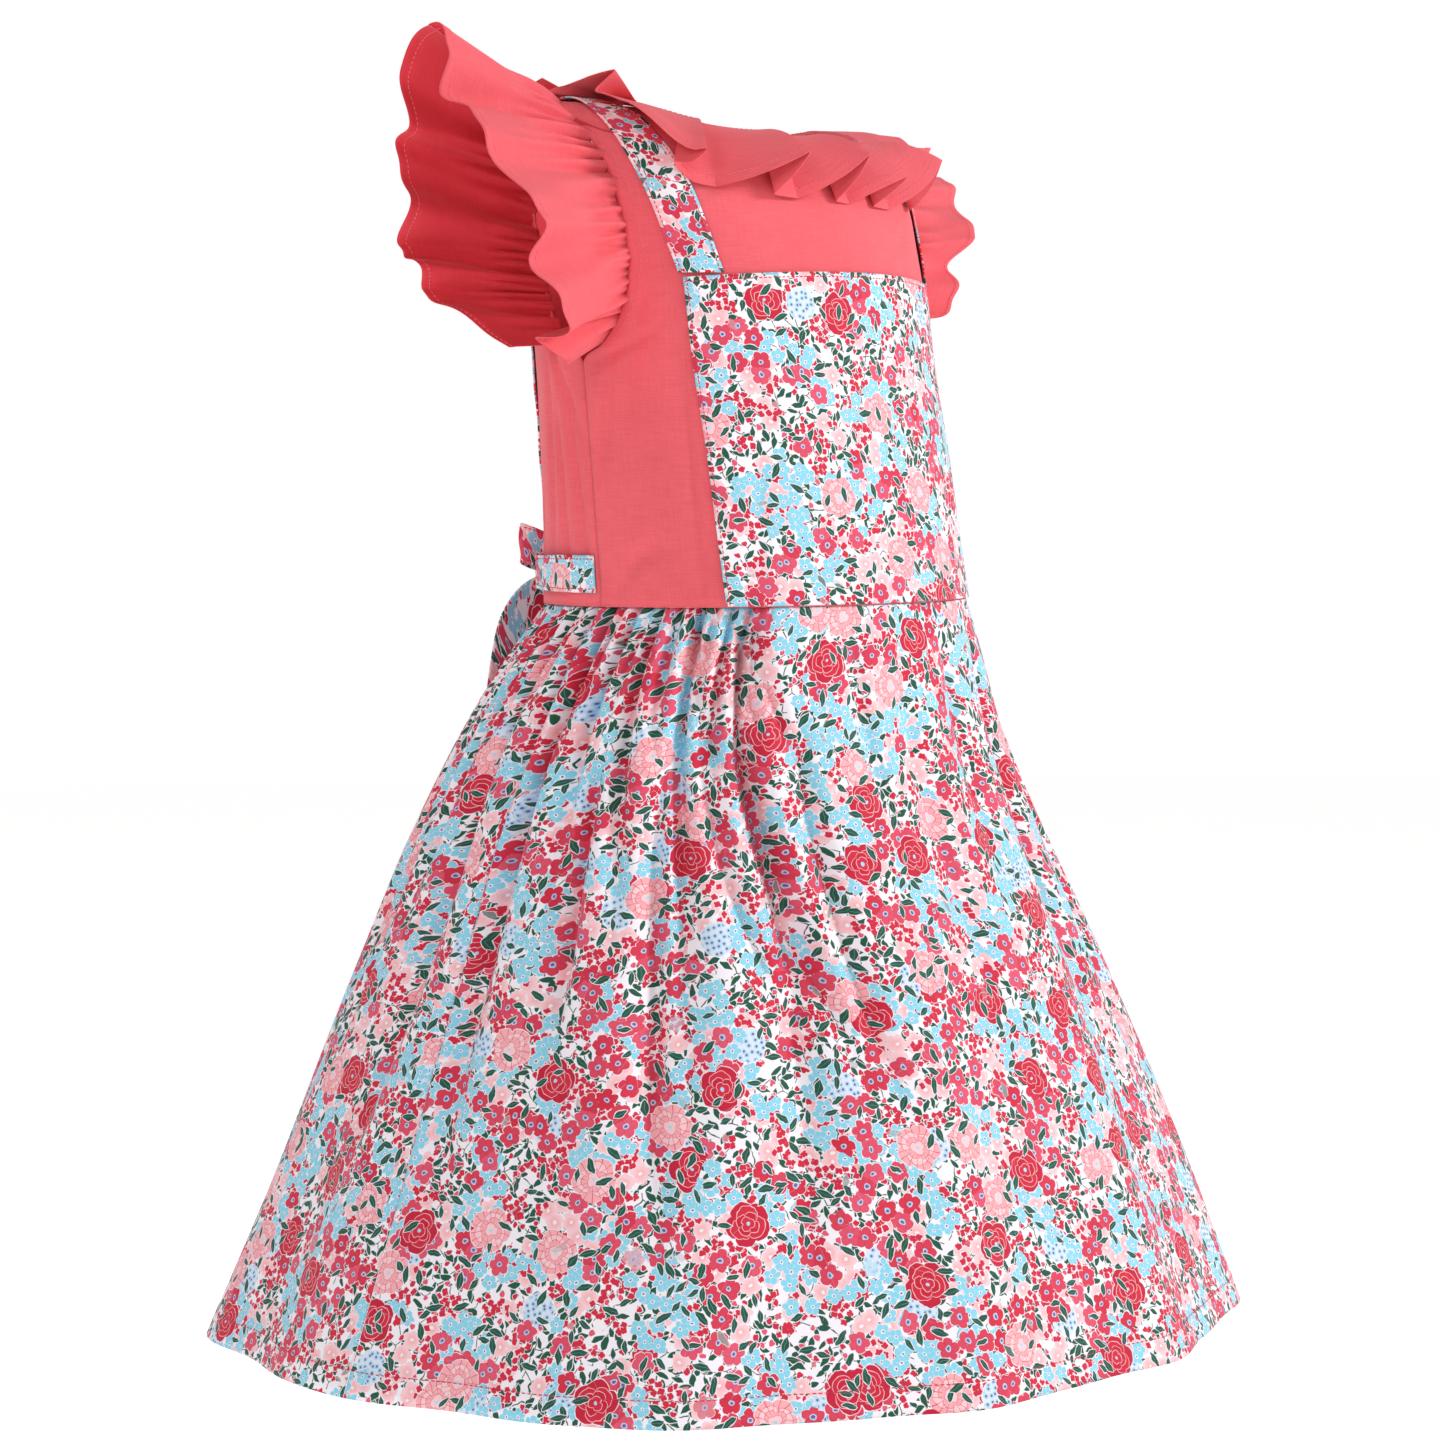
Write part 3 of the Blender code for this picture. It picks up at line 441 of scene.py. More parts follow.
def leaf(cloth, spread, half_length, half_width, seed):
    """Pointed leaves in Voronoi cells, turned every way."""
    bloom = blooms(cloth, spread, half_length, 2, 0.0, seed, 0.9)
    along = (bloom.angle.maths("COSINE")) * bloom.reach
    beside = (bloom.angle.maths("SINE") * bloom.reach).maths("ABSOLUTE")
    room = 1.0 - (along * (1 / half_length)).maths("POWER", 2.0)
    inside = room * half_width - beside
    return inside, beside, bloom


EDGE = 0.00022      # softness of a printed edge
GAP = 0.00035       # pale gap round a flower
GROUND = (0.920, 0.860, 0.930, 1)
CRIMSON = (0.560, 0.014, 0.045, 1)
SCARLET = (0.640, 0.022, 0.055, 1)
CORAL_PINK = (0.760, 0.100, 0.170, 1)
SALMON = (0.930, 0.430, 0.460, 1)
BLUSH = (0.960, 0.610, 0.640, 1)
CYAN = (0.260, 0.660, 0.830, 1)
SKY = (0.420, 0.680, 0.880, 1)
VIOLET = (0.200, 0.100, 0.300, 1)
LEAF_GREEN = (0.014, 0.095, 0.055, 1)
PALE = (0.900, 0.860, 0.900, 1)


def laid(colour, inside, grows, flower_colour):
    """A flower painted over the print, with its pale gap."""
    colour = colour.painted(inside.above(-GAP, EDGE) * grows, GROUND)
    return colour.painted(inside.above(0.0, EDGE) * grows, flower_colour)


def petal_lines(bloom, petals):
    """One on the thin lines between petals."""
    return (bloom.angle * (petals / 2)).maths("COSINE").maths("ABSOLUTE").below(0.13, 0.10)


# %% The whole print
def floral_print(cloth):
    wobble = cloth.noise(0.0045, 1.0).sibling("Color").shifted((-0.5, -0.5, -0.5))
    wobble = wobble.stretched((0.0018, 0.0018, 0))
    hand = cloth.node("ShaderNodeVectorMath", {"operation": "ADD"}, {0: cloth, 1: wobble})
    tint = cloth.noise(0.02, 1.0)
    colour = tint.between(GROUND, (0.93, 0.885, 0.93, 1))

    stems = hand.node(
        "ShaderNodeTexVoronoi", {"voronoi_dimensions": "2D", "feature": "DISTANCE_TO_EDGE"},
        {"Vector": hand, "Scale": 1 / 0.0085, "Randomness": 1.0})
    colour = colour.painted(stems.below(0.030, 0.018) * hand.noise(0.006, 0.0).above(0.46, 0.02), LEAF_GREEN)
    for spread, long, wide, seed in ((0.0058, 0.0029, 0.00115, 0.9), (0.0074, 0.0039, 0.00145, 2.3)):
        inside, _, bloom = leaf(hand, spread, long, wide, seed)
        colour = laid(colour, inside, growing(bloom, 0.74), LEAF_GREEN)

    bud = blooms(hand, 0.0058, 0.00150, 3, 0.30, 4.7)
    bud_colour = bud.kind.above(0.5, 0.01).between(SCARLET, CORAL_PINK)
    colour = laid(colour, bud.inside, growing(bud, 0.55), bud_colour)

    blossom = blooms(hand, 0.0104, 0.0050, 5, 0.32, 7.9)
    petal_colour = blossom.reach.above(0.0022, 0.0028).between(SALMON, BLUSH)
    grows = growing(blossom, 0.520, 0.030, 5.1)
    colour = laid(colour, blossom.inside, grows, petal_colour)
    colour = colour.painted(blossom.reach.below(0.0009, EDGE) * grows, PALE)

    small = blooms(hand, 0.0036, 0.00178, 4, 0.34, 12.4, 0.7)
    grows = growing(small, 0.575, 0.014, 9.3)
    colour = laid(colour, small.inside, grows, SCARLET)

    ball = blooms(cloth, 0.034, 0.0088, 9, 0.10, 15.2, 0.9)
    grows = growing(ball, 0.34)
    dots = blooms(cloth, 0.0031, 0.0006, 3, 0.0, 1.1, 0.6)
    colour = laid(colour, ball.inside, grows, SKY)
    floret = dots.reach.above(0.00135, 0.0003) * 0.6
    colour = colour.painted(ball.inside.above(0.0, EDGE) * grows * floret, GROUND)
    colour = colour.painted(ball.inside.above(0.0006, EDGE) * grows * dots.inside.above(0.0, EDGE), VIOLET)

    blue = blooms(hand, 0.0084, 0.0041, 5, 0.40, 18.8)
    grows = growing(blue, 0.550, 0.034, 2.2)
    colour = laid(colour, blue.inside, grows, CYAN)
    colour = colour.painted(petal_lines(blue, 5) * blue.inside.above(0.0, EDGE) * grows * 0.45, PALE)
    colour = colour.painted(blue.reach.below(0.0010, EDGE) * grows, PALE)
    colour = colour.painted(blue.reach.below(0.00045, EDGE) * grows, VIOLET)

    windflower = blooms(hand, 0.0122, 0.0057, 5, 0.34, 24.6)
    grows = growing(windflower, 0.560, 0.034, 7.7)
    colour = laid(colour, windflower.inside, grows, windflower.kind.between(SCARLET, CORAL_PINK))
    lines = petal_lines(windflower, 5) * windflower.inside.above(0.0, EDGE) * grows
    colour = colour.painted(lines * 0.5, CRIMSON)
    colour = colour.painted(windflower.reach.below(0.0014, EDGE) * grows, SKY)
    colour = colour.painted(windflower.reach.below(0.0008, EDGE) * grows, VIOLET)

    head = blooms(hand, 0.0380, 0.0112, 5, 0.22, 31.4, 0.9)
    grows = growing(head, 0.52)
    is_rose = head.kind.above(0.45, 0.001)
    outer_tone, inner_tone = is_rose.between(SALMON, CRIMSON), is_rose.between(BLUSH, SCARLET)
    line_tone = is_rose.between(CORAL_PINK, BLUSH)
    colour = laid(colour, head.inside, grows, outer_tone)
    for radius, petals, turn, tone in ((0.0084, 3, 0.8, inner_tone), (0.0059, 4, 1.9, outer_tone),
                                       (0.0034, 3, 0.3, inner_tone)):
        petal = ((head.angle + turn) * (petals / 2)).maths("COSINE").maths("ABSOLUTE").maths("POWER", 0.5)
        ring = (petal * (radius * 0.42) + radius * 0.60) - head.reach
        colour = colour.painted(ring.above(-0.00028, EDGE) * grows, line_tone)
        colour = colour.painted(ring.above(0.0, EDGE) * grows, tone)
    rays = (head.angle * 8.0).maths("COSINE").maths("ABSOLUTE").below(0.16, 0.12)
    rays = rays * head.reach.above(0.0036, 0.0008) * head.inside.above(0.0, EDGE) * grows
    colour = colour.painted(rays * (1.0 - is_rose), CORAL_PINK)
    colour = colour.painted(head.reach.below(0.0009, EDGE) * grows, SKY)

    for spread, long, wide, seed in ((0.0094, 0.0036, 0.00135, 41.2), (0.0130, 0.0046, 0.00165, 47.9)):
        inside, beside, bloom = leaf(hand, spread, long, wide, seed)
        clear = bloom.centre.noise(0.02, 0.0).above(0.47, 0.01)
        colour = laid(colour, inside, growing(bloom, 0.62) * clear, LEAF_GREEN)
        colour = colour.painted(beside.below(0.00010, 0.0001) * inside.above(0.0, EDGE) * clear * 0.25, SKY)
    return colour


def make_floral(name):
    material, shader, cloth = new_material(name, 0.74, 0.08)
    warp_streak = cloth.stretched((1.0, 0.05, 1.0)).noise(0.0007, 1.0)
    relief = weave_relief(cloth) * 0.6 + warp_streak * 0.4
    finish_material(shader, floral_print(cloth), relief, 0.00005)
    print(name, len(material.node_tree.nodes), "nodes")
    return material


floral = make_floral("floral_cotton")

# %% [markdown]
# ## Cloth from a grid of points
#
# Cloth can be simulated, but folds that must lie in known places are easier to draw. Each piece is a grid
# of points with a second, flat grid beside it: where each point lay before the piece was sewn. The flat
# grid becomes the map that carries the print and the weave. Solidify then gives the sheet its thickness on
# the inner side.

# %% Making a sheet of cloth
def grid_normals(grid):
    return unit(np.cross(np.gradient(grid, axis=1), np.gradient(grid, axis=0)))


def normals_towards(grid, outwards):
    normals = grid_normals(grid)
    return normals * np.sign(np.sum(normals * outwards, axis=-1).sum())


def from_axis(grid):
    """Directions away from the figure's upright middle line."""
    outwards = grid - np.array([0.0, -0.02, 0.0])
    outwards[..., 2] = 0.02
    return unit(outwards)


def sheet_area(grid):
    a, b, c, d = grid[:-1, :-1], grid[:-1, 1:], grid[1:, 1:], grid[1:, :-1]
    halves = np.cross(b - a, c - a), np.cross(c - a, d - a)
    return sum(0.5 * np.linalg.norm(half, axis=-1).sum() for half in halves)


POPLIN, DOUBLE_CLOTH, BOW_CLOTH, RUFFLE_CLOTH = 0.0007, 0.0009, 0.0008, 0.0004


def sew(name, grid, flat, outwards, thickness, material, inside=None):
    """A thin sheet on a grid, with its flat grid as its map, riding on the frame in the place of its solid."""
    rows, columns = grid.shape[:2]
    number = np.arange(rows * columns).reshape(rows, columns)
    faces = np.stack([number[:-1, :-1], number[:-1, 1:], number[1:, 1:], number[1:, :-1]], axis=-1)
    faces = faces.reshape(-1, 4)
    across_rows, up_columns = np.gradient(grid, axis=1), np.gradient(grid, axis=0)
    if np.sum(np.cross(across_rows, up_columns) * outwards) < 0:
        faces = faces[:, ::-1]
    mesh = bpy.data.meshes.new(name)
    mesh.from_pydata(grid.reshape(-1, 3).tolist(), [], faces.tolist())
    cloth_map = mesh.uv_layers.new(name="Cloth")
    loops = np.empty(len(mesh.loops), dtype=np.int32)
    mesh.loops.foreach_get("vertex_index", loops)
    cloth_map.data.foreach_set("uv", flat.reshape(-1, 2)[loops].ravel().astype(np.float32))
    mesh.shade_smooth()
    item = add_object(f"{name}_cloth", mesh)
    mesh.materials.append(material)
    thick = item.modifiers.new("thickness", "SOLIDIFY")
    thick.thickness, thick.offset = thickness, -1.0
    # The second material goes on the inner faces; the coral pieces get the poplin copy with painted shade
    # there.
    if inside:
        mesh.materials.append(inside)
        thick.material_offset = 1
    pick(item)
    bpy.ops.object.modifier_apply(modifier="thickness")
    hang(item, name)
    print(f"{name}: {len(item.data.polygons)} faces, {sheet_area(grid):.4f} m2")
    return item


def flat_by_length(grid, middle=None):
    """A flat grid from lengths along the rows and down the columns, measured from a middle column."""
    middle = grid.shape[1] // 2 if middle is None else middle
    along = np.linalg.norm(np.diff(grid, axis=1), axis=-1)
    along = np.concatenate([np.zeros((grid.shape[0], 1)), np.cumsum(along, axis=1)], axis=1)
    along -= along[:, middle:middle + 1]
    down = np.linalg.norm(np.diff(grid[:, middle], axis=0), axis=-1)
    down = np.concatenate([[0.0], np.cumsum(down)])
    return np.stack([along, np.broadcast_to(down[:, None], along.shape)], axis=-1)


# %% [markdown]
# ## Stitches
#
# A seam shows as a row of short thread bars, each sunk at both ends. One bar is modelled from a thin
# cylinder whose ends are drawn in, and it is then repeated along a line on the cloth.

# %% One stitch, and a row of them
bpy.ops.object.select_all(action="DESELECT")
bpy.ops.mesh.primitive_cylinder_add(vertices=5, radius=1.0, depth=1.0, location=(0, 0, 0))
stitch_model = bpy.context.active_object
bpy.ops.object.mode_set(mode="EDIT")
bpy.ops.mesh.select_all(action="SELECT")
bpy.ops.mesh.bisect(plane_co=(0, 0, 0.28), plane_no=(0, 0, 1))
bpy.ops.mesh.select_all(action="SELECT")
bpy.ops.mesh.bisect(plane_co=(0, 0, -0.28), plane_no=(0, 0, 1))
bpy.ops.object.mode_set(mode="OBJECT")
STITCH_POINTS = np.array([list(vert.co) for vert in stitch_model.data.vertices])
STITCH_FACES = [list(face.vertices) for face in stitch_model.data.polygons]
STITCH_POINTS[np.abs(STITCH_POINTS[:, 2]) > 0.4, :2] *= 0.45
bpy.data.objects.remove(stitch_model, do_unlink=True)


HEM_PITCH, POPLIN_PITCH, COTTON_PITCH = 0.0030, 0.0028, 0.0026
EDGE_INSET = 0.0018     # from the edge of a strip to its stitching


def stitch_lines(name, lines, pitch, thread, width=0.00030):
    """Rows of stitches. Each line is points on the cloth and the directions out of it."""
    places, outs, longs, lengths = [], [], [], []
    for points, normals in lines:
        run = np.concatenate([[0.0], np.cumsum(np.linalg.norm(np.diff(points, axis=0), axis=1))])
        count = max(int(run[-1] / pitch), 2)
        marks = (np.arange(count) + 0.5) * run[-1] / count
        half = 0.34 * pitch
        start, stop = (np.stack([np.interp(np.clip(marks + step, 0, run[-1]), run, points[:, k])
                                 for k in range(3)], axis=-1) for step in (-half, half))
        out = unit(np.stack([np.interp(marks, run, normals[:, k]) for k in range(3)], axis=-1))
        places.append((start + stop) / 2 + out * width * 0.15)
        outs.append(out)
        longs.append(unit(stop - start))
        lengths.append(np.linalg.norm(stop - start, axis=1))
    place, out, long = (np.concatenate(part) for part in (places, outs, longs))
    length = np.concatenate(lengths)
    side = unit(np.cross(long, out))
    out = np.cross(side, long)
    verts = (place[:, None] + side[:, None] * STITCH_POINTS[None, :, :1] * width
             + out[:, None] * STITCH_POINTS[None, :, 1:2] * width * 0.6
             + long[:, None] * STITCH_POINTS[None, :, 2:] * length[:, None, None])
    step = len(STITCH_POINTS)
    faces = [[corner + step * k for corner in face] for k in range(len(place)) for face in STITCH_FACES]
    mesh = bpy.data.meshes.new(name)
    mesh.from_pydata(verts.reshape(-1, 3).tolist(), [], faces)
    mesh.shade_smooth()
    mesh.uv_layers.new(name="Cloth")
    mesh.materials.append(thread)
    item = add_object(name, mesh)
    pick(item)
    bpy.ops.object.mode_set(mode="EDIT")
    bpy.ops.mesh.select_all(action="SELECT")
    bpy.ops.mesh.normals_make_consistent(inside=False)
    bpy.ops.object.mode_set(mode="OBJECT")
    hang(item)
    print(f"{name}: {len(place)} stitches")


def row_line(grid, normals, row):
    """The line along a grid at a row that may lie between two rows."""
    low = int(min(row, grid.shape[0] - 2))
    share = row - low
    return grid[low] * (1 - share) + grid[low + 1] * share, normals[low]


def column_line(grid, normals, place):
    low = int(min(place, grid.shape[1] - 2))
    share = place - low
    return grid[:, low] * (1 - share) + grid[:, low + 1] * share, normals[:, low]


print("one stitch has", len(STITCH_FACES), "faces")

# %% [markdown]
# ## The bodice
#
# The bodice is one front and two backs of coral poplin, cut level at the waist and hollowed for the neck
# and the arms. Its panels lie smoothly on the figure, with a few soft creases where the side seams pull.
# Each crease is a line from one place to another, with a depth and a breadth, and the cloth sinks in along
# it.

# %% Creases and panel rows
Crease = namedtuple("Crease", "angle_1 height_1 angle_2 height_2 depth breadth")
ARC = 0.0021        # metres of cloth for one degree round the bodice
CREASE_PULL = 1.9   # how much deeper the creases are pulled than their table says


def sunk(angle, height, creases):
    """How far the cloth sinks in at each place, over all creases."""
    depth = np.zeros(np.broadcast(angle, height).shape)
    for crease in creases:
        run = np.array([(crease.angle_2 - crease.angle_1) * ARC, crease.height_2 - crease.height_1])
        x, y = (angle - crease.angle_1) * ARC, height - crease.height_1
        share = np.clip((x * run[0] + y * run[1]) / (run @ run), 0.0, 1.0)
        off = np.hypot(x - share * run[0], y - share * run[1])
        fade = 0.35 + 0.65 * np.sin(math.pi * share) ** 0.7
        depth += CREASE_PULL * crease.depth * np.exp(-(off / crease.breadth) ** 2) * fade
    return depth


PanelRow = namedtuple("PanelRow", "edge_angle edge_height middle_height")
FRONT_ROWS = [PanelRow(*row) for row in (
    (90.0, -0.257, -0.257), (90.0, -0.222, -0.224), (90.0, -0.186, -0.190), (90.0, -0.158, -0.160),
    (90.0, -0.133, -0.130), (82.0, -0.124, -0.112), (74.5, -0.108, -0.094), (70.0, -0.085, -0.076),
    (69.5, -0.055, -0.058), (71.0, -0.031, -0.044), (75.0, -0.014, -0.034), (80.5, -0.004, -0.027),
    (90.0, 0.000, -0.022), (57.0, 0.000, -0.0190), (40.4, 0.000, -0.0165))]
BACK_ROWS = [PanelRow(*row) for row in (
    (90.0, -0.257, -0.257), (90.0, -0.222, -0.222), (90.0, -0.186, -0.186), (90.0, -0.158, -0.154),
    (90.0, -0.133, -0.126), (82.5, -0.124, -0.103), (76.0, -0.107, -0.083), (72.5, -0.082, -0.064),
    (72.0, -0.048, -0.048), (73.5, -0.027, -0.038), (77.0, -0.012, -0.031), (81.5, -0.004, -0.026),
    (90.0, 0.000, -0.0210), (57.0, 0.000, -0.0180), (40.4, 0.000, -0.0155))]
ROW_STEPS = 7

FRONT_CREASES = [Crease(*row) for row in (
    (-86, -0.252, -70, -0.222, 0.0012, 0.0035), (-84, -0.236, -62, -0.226, 0.0010, 0.0030),
    (-86, -0.190, -80, -0.140, 0.0012, 0.0040), (-74, -0.160, -68, -0.100, 0.0009, 0.0050),
    (-58, -0.250, -56, -0.150, 0.0008, 0.0030), (-86, -0.135, -64, -0.118, 0.0009, 0.0030),
    (84, -0.250, 66, -0.224, 0.0011, 0.0035), (85, -0.200, 78, -0.140, 0.0011, 0.0040),
    (86, -0.135, 66, -0.114, 0.0010, 0.0030), (-30, -0.062, -8, -0.074, 0.0007, 0.0040),
    (28, -0.066, 10, -0.078, 0.0006, 0.0040))]
BACK_CREASES = [Crease(*row) for row in (
    (95, -0.235, 99, -0.150, 0.0016, 0.0032), (104, -0.238, 106, -0.160, 0.0013, 0.0034),
    (93, -0.170, 108, -0.120, 0.0014, 0.0035), (113, -0.230, 110, -0.130, 0.0010, 0.0040),
    (96, -0.130, 120, -0.110, 0.0010, 0.0040), (150, -0.235, 160, -0.190, 0.0008, 0.0045),
    (128, -0.240, 124, -0.200, 0.0010, 0.0032), (140, -0.100, 122, -0.070, 0.0008, 0.0045))]


def panel(rows, side, start, end, columns, creases):
    """Grid of a panel, with finer rows than its table and its creases sunk in."""
    fine = np.linspace(0, len(rows) - 1, (len(rows) - 1) * ROW_STEPS + 1)
    places = np.linspace(start, end, columns)[None, :]
    edge_angle, edge_height, middle = (smooth_read(fine, range(len(rows)), column(rows, name))[:, None]
                                       for name in PanelRow._fields)
    edge_angle, edge_height = np.minimum(edge_angle, 90.0), np.minimum(edge_height, 0.0)
    angle = places * edge_angle
    height = middle + (edge_height - middle) * np.abs(places) ** 4
    angle = angle if side == "front" else 180.0 - angle
    grid = body_point(angle, height)
    if side == "back":
        angle = np.where(np.abs(angle) > 180, 360 - np.abs(angle), np.abs(angle))
    seam_dip = 0.0007 * np.exp(-((1 - np.abs(places)) * edge_angle * ARC / 0.0012) ** 2)
    depth = sunk(angle, height, creases) + seam_dip
    return grid - normals_towards(grid, from_axis(grid)) * depth[..., None]


def near_edge(grid, hand, distance, rows):
    """A line over the cloth at a distance from its first or last column, over some of its rows."""
    picked, outs = [], []
    normals = normals_towards(grid, from_axis(grid))
    for row in rows:
        line, out = (grid[row][::-1], normals[row][::-1]) if hand > 0 else (grid[row], normals[row])
        run = np.concatenate([[0.0], np.cumsum(np.linalg.norm(np.diff(line, axis=0), axis=1))])
        picked.append([np.interp(distance, run, line[:, k]) for k in range(3)])
        outs.append([np.interp(distance, run, out[:, k]) for k in range(3)])
    return np.array(picked), np.array(outs)


# %% The front and the two backs
panels = {
    "bodice_front": panel(FRONT_ROWS, "front", -1.0, 1.0, 150, FRONT_CREASES),
    "bodice_back_left": panel(BACK_ROWS, "back", 0.002, 1.0, 76, BACK_CREASES),
    "bodice_back_right": panel(BACK_ROWS, "back", -1.0, -0.002, 76, BACK_CREASES),
}
armhole_rows = range(4 * ROW_STEPS + 3, 12 * ROW_STEPS - 2)
armhole_lines = []
for name, grid in panels.items():
    # The inner faces take the coral copy with painted shade.
    sew(name, grid, flat_by_length(grid), from_axis(grid), POPLIN, coral, coral_painted_shade)
    hands = {"bodice_front": (-1, 1), "bodice_back_left": (1,), "bodice_back_right": (-1,)}[name]
    armhole_lines += [near_edge(grid, hand, 0.007, armhole_rows) for hand in hands]
stitch_lines("armhole_stitches", armhole_lines, POPLIN_PITCH, coral_thread)

# %% [markdown]
# ## Bib, straps and back placket
#
# The bib is a plain rectangle of the printed cotton that is stitched on the front up to the chest. The two
# straps run from its corners over the shoulders to the back of the waist. They are double cloth, pressed
# and edge-stitched, so they get a firm thickness and a slightly sunk stitching line. The placket down the
# centre back carries the buttons.

# %% Printed pieces that lie on the bodice
def edge_dip(shares, width):
    """A shallow trough along a stitching line on both edges of a strip; shares run from -0.5 to 0.5."""
    off = (0.5 - np.abs(shares)) * width - EDGE_INSET
    return -0.00018 * np.exp(-(off / 0.0007) ** 2)


def both_edges(grid):
    """The stitching lines near the first and the last column."""
    return [near_edge(grid, side, EDGE_INSET, range(len(grid))) for side in (-1, 1)]


SEAM_CLEAR = 0.0003     # between two pieces at a seam
ON_BODICE = 0.0017      # from the bodice to the face of a piece that lies on it
BIB_HALF, BIB_TOP, BIB_BOW = 0.0985, -0.0915, 0.004
BIB_CREASES = [Crease(*row) for row in (
    (-46, -0.250, -38, -0.170, 0.0006, 0.005), (34, -0.250, 26, -0.170, 0.0006, 0.006),
    (-30, -0.100, 20, -0.108, 0.0005, 0.004), (-10, -0.255, -14, -0.200, 0.0005, 0.006))]
across = np.linspace(-1.0, 1.0, 120)
bib_rows = []
for up in np.linspace(0.0, 1.0, 90):
    height = WAIST + SEAM_CLEAR + (BIB_TOP + BIB_BOW * (1 - across**2) - WAIST - SEAM_CLEAR) * up
    bib_rows.append(body_point(angle_of_x(across * BIB_HALF, height, "front"), height))
bib = np.array(bib_rows)
bib_sink = sunk(np.degrees(np.arcsin(np.clip(bib[..., 0] / 0.122, -1, 1))), bib[..., 2], BIB_CREASES)
bib = bib + normals_towards(bib, from_axis(bib)) * (ON_BODICE - bib_sink)[..., None]
sew("bib", bib, flat_by_length(bib), from_axis(bib), DOUBLE_CLOTH, floral)
bib_out = normals_towards(bib, from_axis(bib))
stitch_lines("bib_stitches", [row_line(bib, bib_out, 87.7)] + both_edges(bib), COTTON_PITCH, red_thread)

# %% The two straps
STRAP_WIDTH = 0.0174
STRAP_ROWS = (
    (0, 0.0912, -0.0893), (0, 0.0942, -0.0700), (0, 0.0975, -0.0500), (0, 0.1005, -0.0340),
    (0, 0.1030, -0.0200), (0, 0.1045, -0.0110), (0, 0.1055, -0.0045), (0, 0.1060, -0.0012),
    (1, 0.1060, 0.0000), (1, 0.1055, -0.0012), (1, 0.1045, -0.0045), (1, 0.1030, -0.0110),
    (1, 0.1005, -0.0220), (1, 0.0965, -0.0400), (1, 0.0920, -0.0650), (1, 0.0860, -0.1000),
    (1, 0.0790, -0.1400), (1, 0.0720, -0.1800), (1, 0.0660, -0.2200), (1, 0.0610, -0.2565))


def strip_along(line, columns, steps):
    """A strip's grid from points on each row, made finer along its length by a smooth curve."""
    line = np.array(line)
    marks = np.concatenate([[0.0], np.cumsum(np.linalg.norm(np.diff(line.mean(axis=1), axis=0), axis=1))])
    fine = np.linspace(0, marks[-1], steps)
    coarse = np.stack([[smooth_read(fine, marks, line[:, j, k]) for k in range(3)]
                       for j in range(line.shape[1])])
    coarse = coarse.transpose(2, 0, 1)
    shares = np.linspace(0, line.shape[1] - 1, columns)
    low = np.minimum(shares.astype(int), line.shape[1] - 2)
    part = (shares - low)[None, :, None]
    return coarse[:, low] * (1 - part) + coarse[:, low + 1] * part


strap_lines = []
for name, hand in (("strap_left", 1), ("strap_right", -1)):
    rows = []
    for back, centre, height in STRAP_ROWS:
        x = hand * (centre + np.array([-0.5, 0.0, 0.5]) * STRAP_WIDTH)
        rows.append(body_point(angle_of_x(x, height, "back" if back else "front"), np.full(3, height)))
    strap = strip_along(rows, 17, 190)
    shares = np.linspace(-0.5, 0.5, 17)
    run = np.linspace(0, 1, 190)[:, None]
    puff = 0.0023 + edge_dip(shares, STRAP_WIDTH)[None, :] + 0.00025 * np.sin(70 * run + 3 * shares[None, :])
    strap = strap + normals_towards(strap, from_axis(strap)) * puff[..., None]
    sew(name, strap, flat_by_length(strap)[..., ::-1] + np.array([0.11 * hand, 0.0]), from_axis(strap),
        DOUBLE_CLOTH, floral)
    strap_lines += both_edges(strap)
stitch_lines("strap_stitches", strap_lines, COTTON_PITCH, red_thread)

# %% The placket
PLACKET_WIDTH, PLACKET_FOOT, PLACKET_TOP = 0.020, -0.154, -0.0155
shares = np.linspace(-0.5, 0.5, 25)
placket = np.array([body_point(angle_of_x(shares * PLACKET_WIDTH, height, "back"), np.full(25, height))
                    for height in np.linspace(PLACKET_FOOT, PLACKET_TOP, 70)])
placket_lift = ON_BODICE + edge_dip(shares, PLACKET_WIDTH)
placket = placket + normals_towards(placket, from_axis(placket)) * placket_lift[None, :, None]
sew("back_placket", placket, flat_by_length(placket), from_axis(placket), DOUBLE_CLOTH, coral)
stitch_lines("placket_stitches", both_edges(placket), POPLIN_PITCH, coral_thread)

# %% [markdown]
# ## Buttons
#
# Four small round buttons close the back. One is modelled from a cylinder: its face is inset and sunk to a
# dish, its rim is rounded, and four holes are cut through it. The thread is two bars across the holes. The
# others are copies.

# %% A button with four holes
BUTTON_RADIUS, BUTTON_THICK, HOLE_RADIUS, HOLE_PLACE = 0.0050, 0.0022, 0.00055, 0.0010
bpy.ops.object.select_all(action="DESELECT")
bpy.ops.mesh.primitive_cylinder_add(vertices=48, radius=BUTTON_RADIUS, depth=BUTTON_THICK, location=(0, 0, 0))
button_model = bpy.context.active_object
bpy.ops.object.mode_set(mode="EDIT")
bpy.ops.mesh.select_all(action="DESELECT")
bpy.ops.object.mode_set(mode="OBJECT")
for face in button_model.data.polygons:
    face.select = face.normal.z > 0.9
bpy.ops.object.mode_set(mode="EDIT")
bpy.ops.mesh.inset(thickness=0.0011)
bpy.ops.mesh.inset(thickness=0.0005)
bpy.ops.transform.translate(value=(0, 0, -0.0007))
bpy.ops.object.mode_set(mode="OBJECT")
rounding = button_model.modifiers.new("rounding", "BEVEL")
rounding.width, rounding.segments, rounding.limit_method = 0.0004, 3, "ANGLE"
bpy.ops.object.modifier_apply(modifier="rounding")
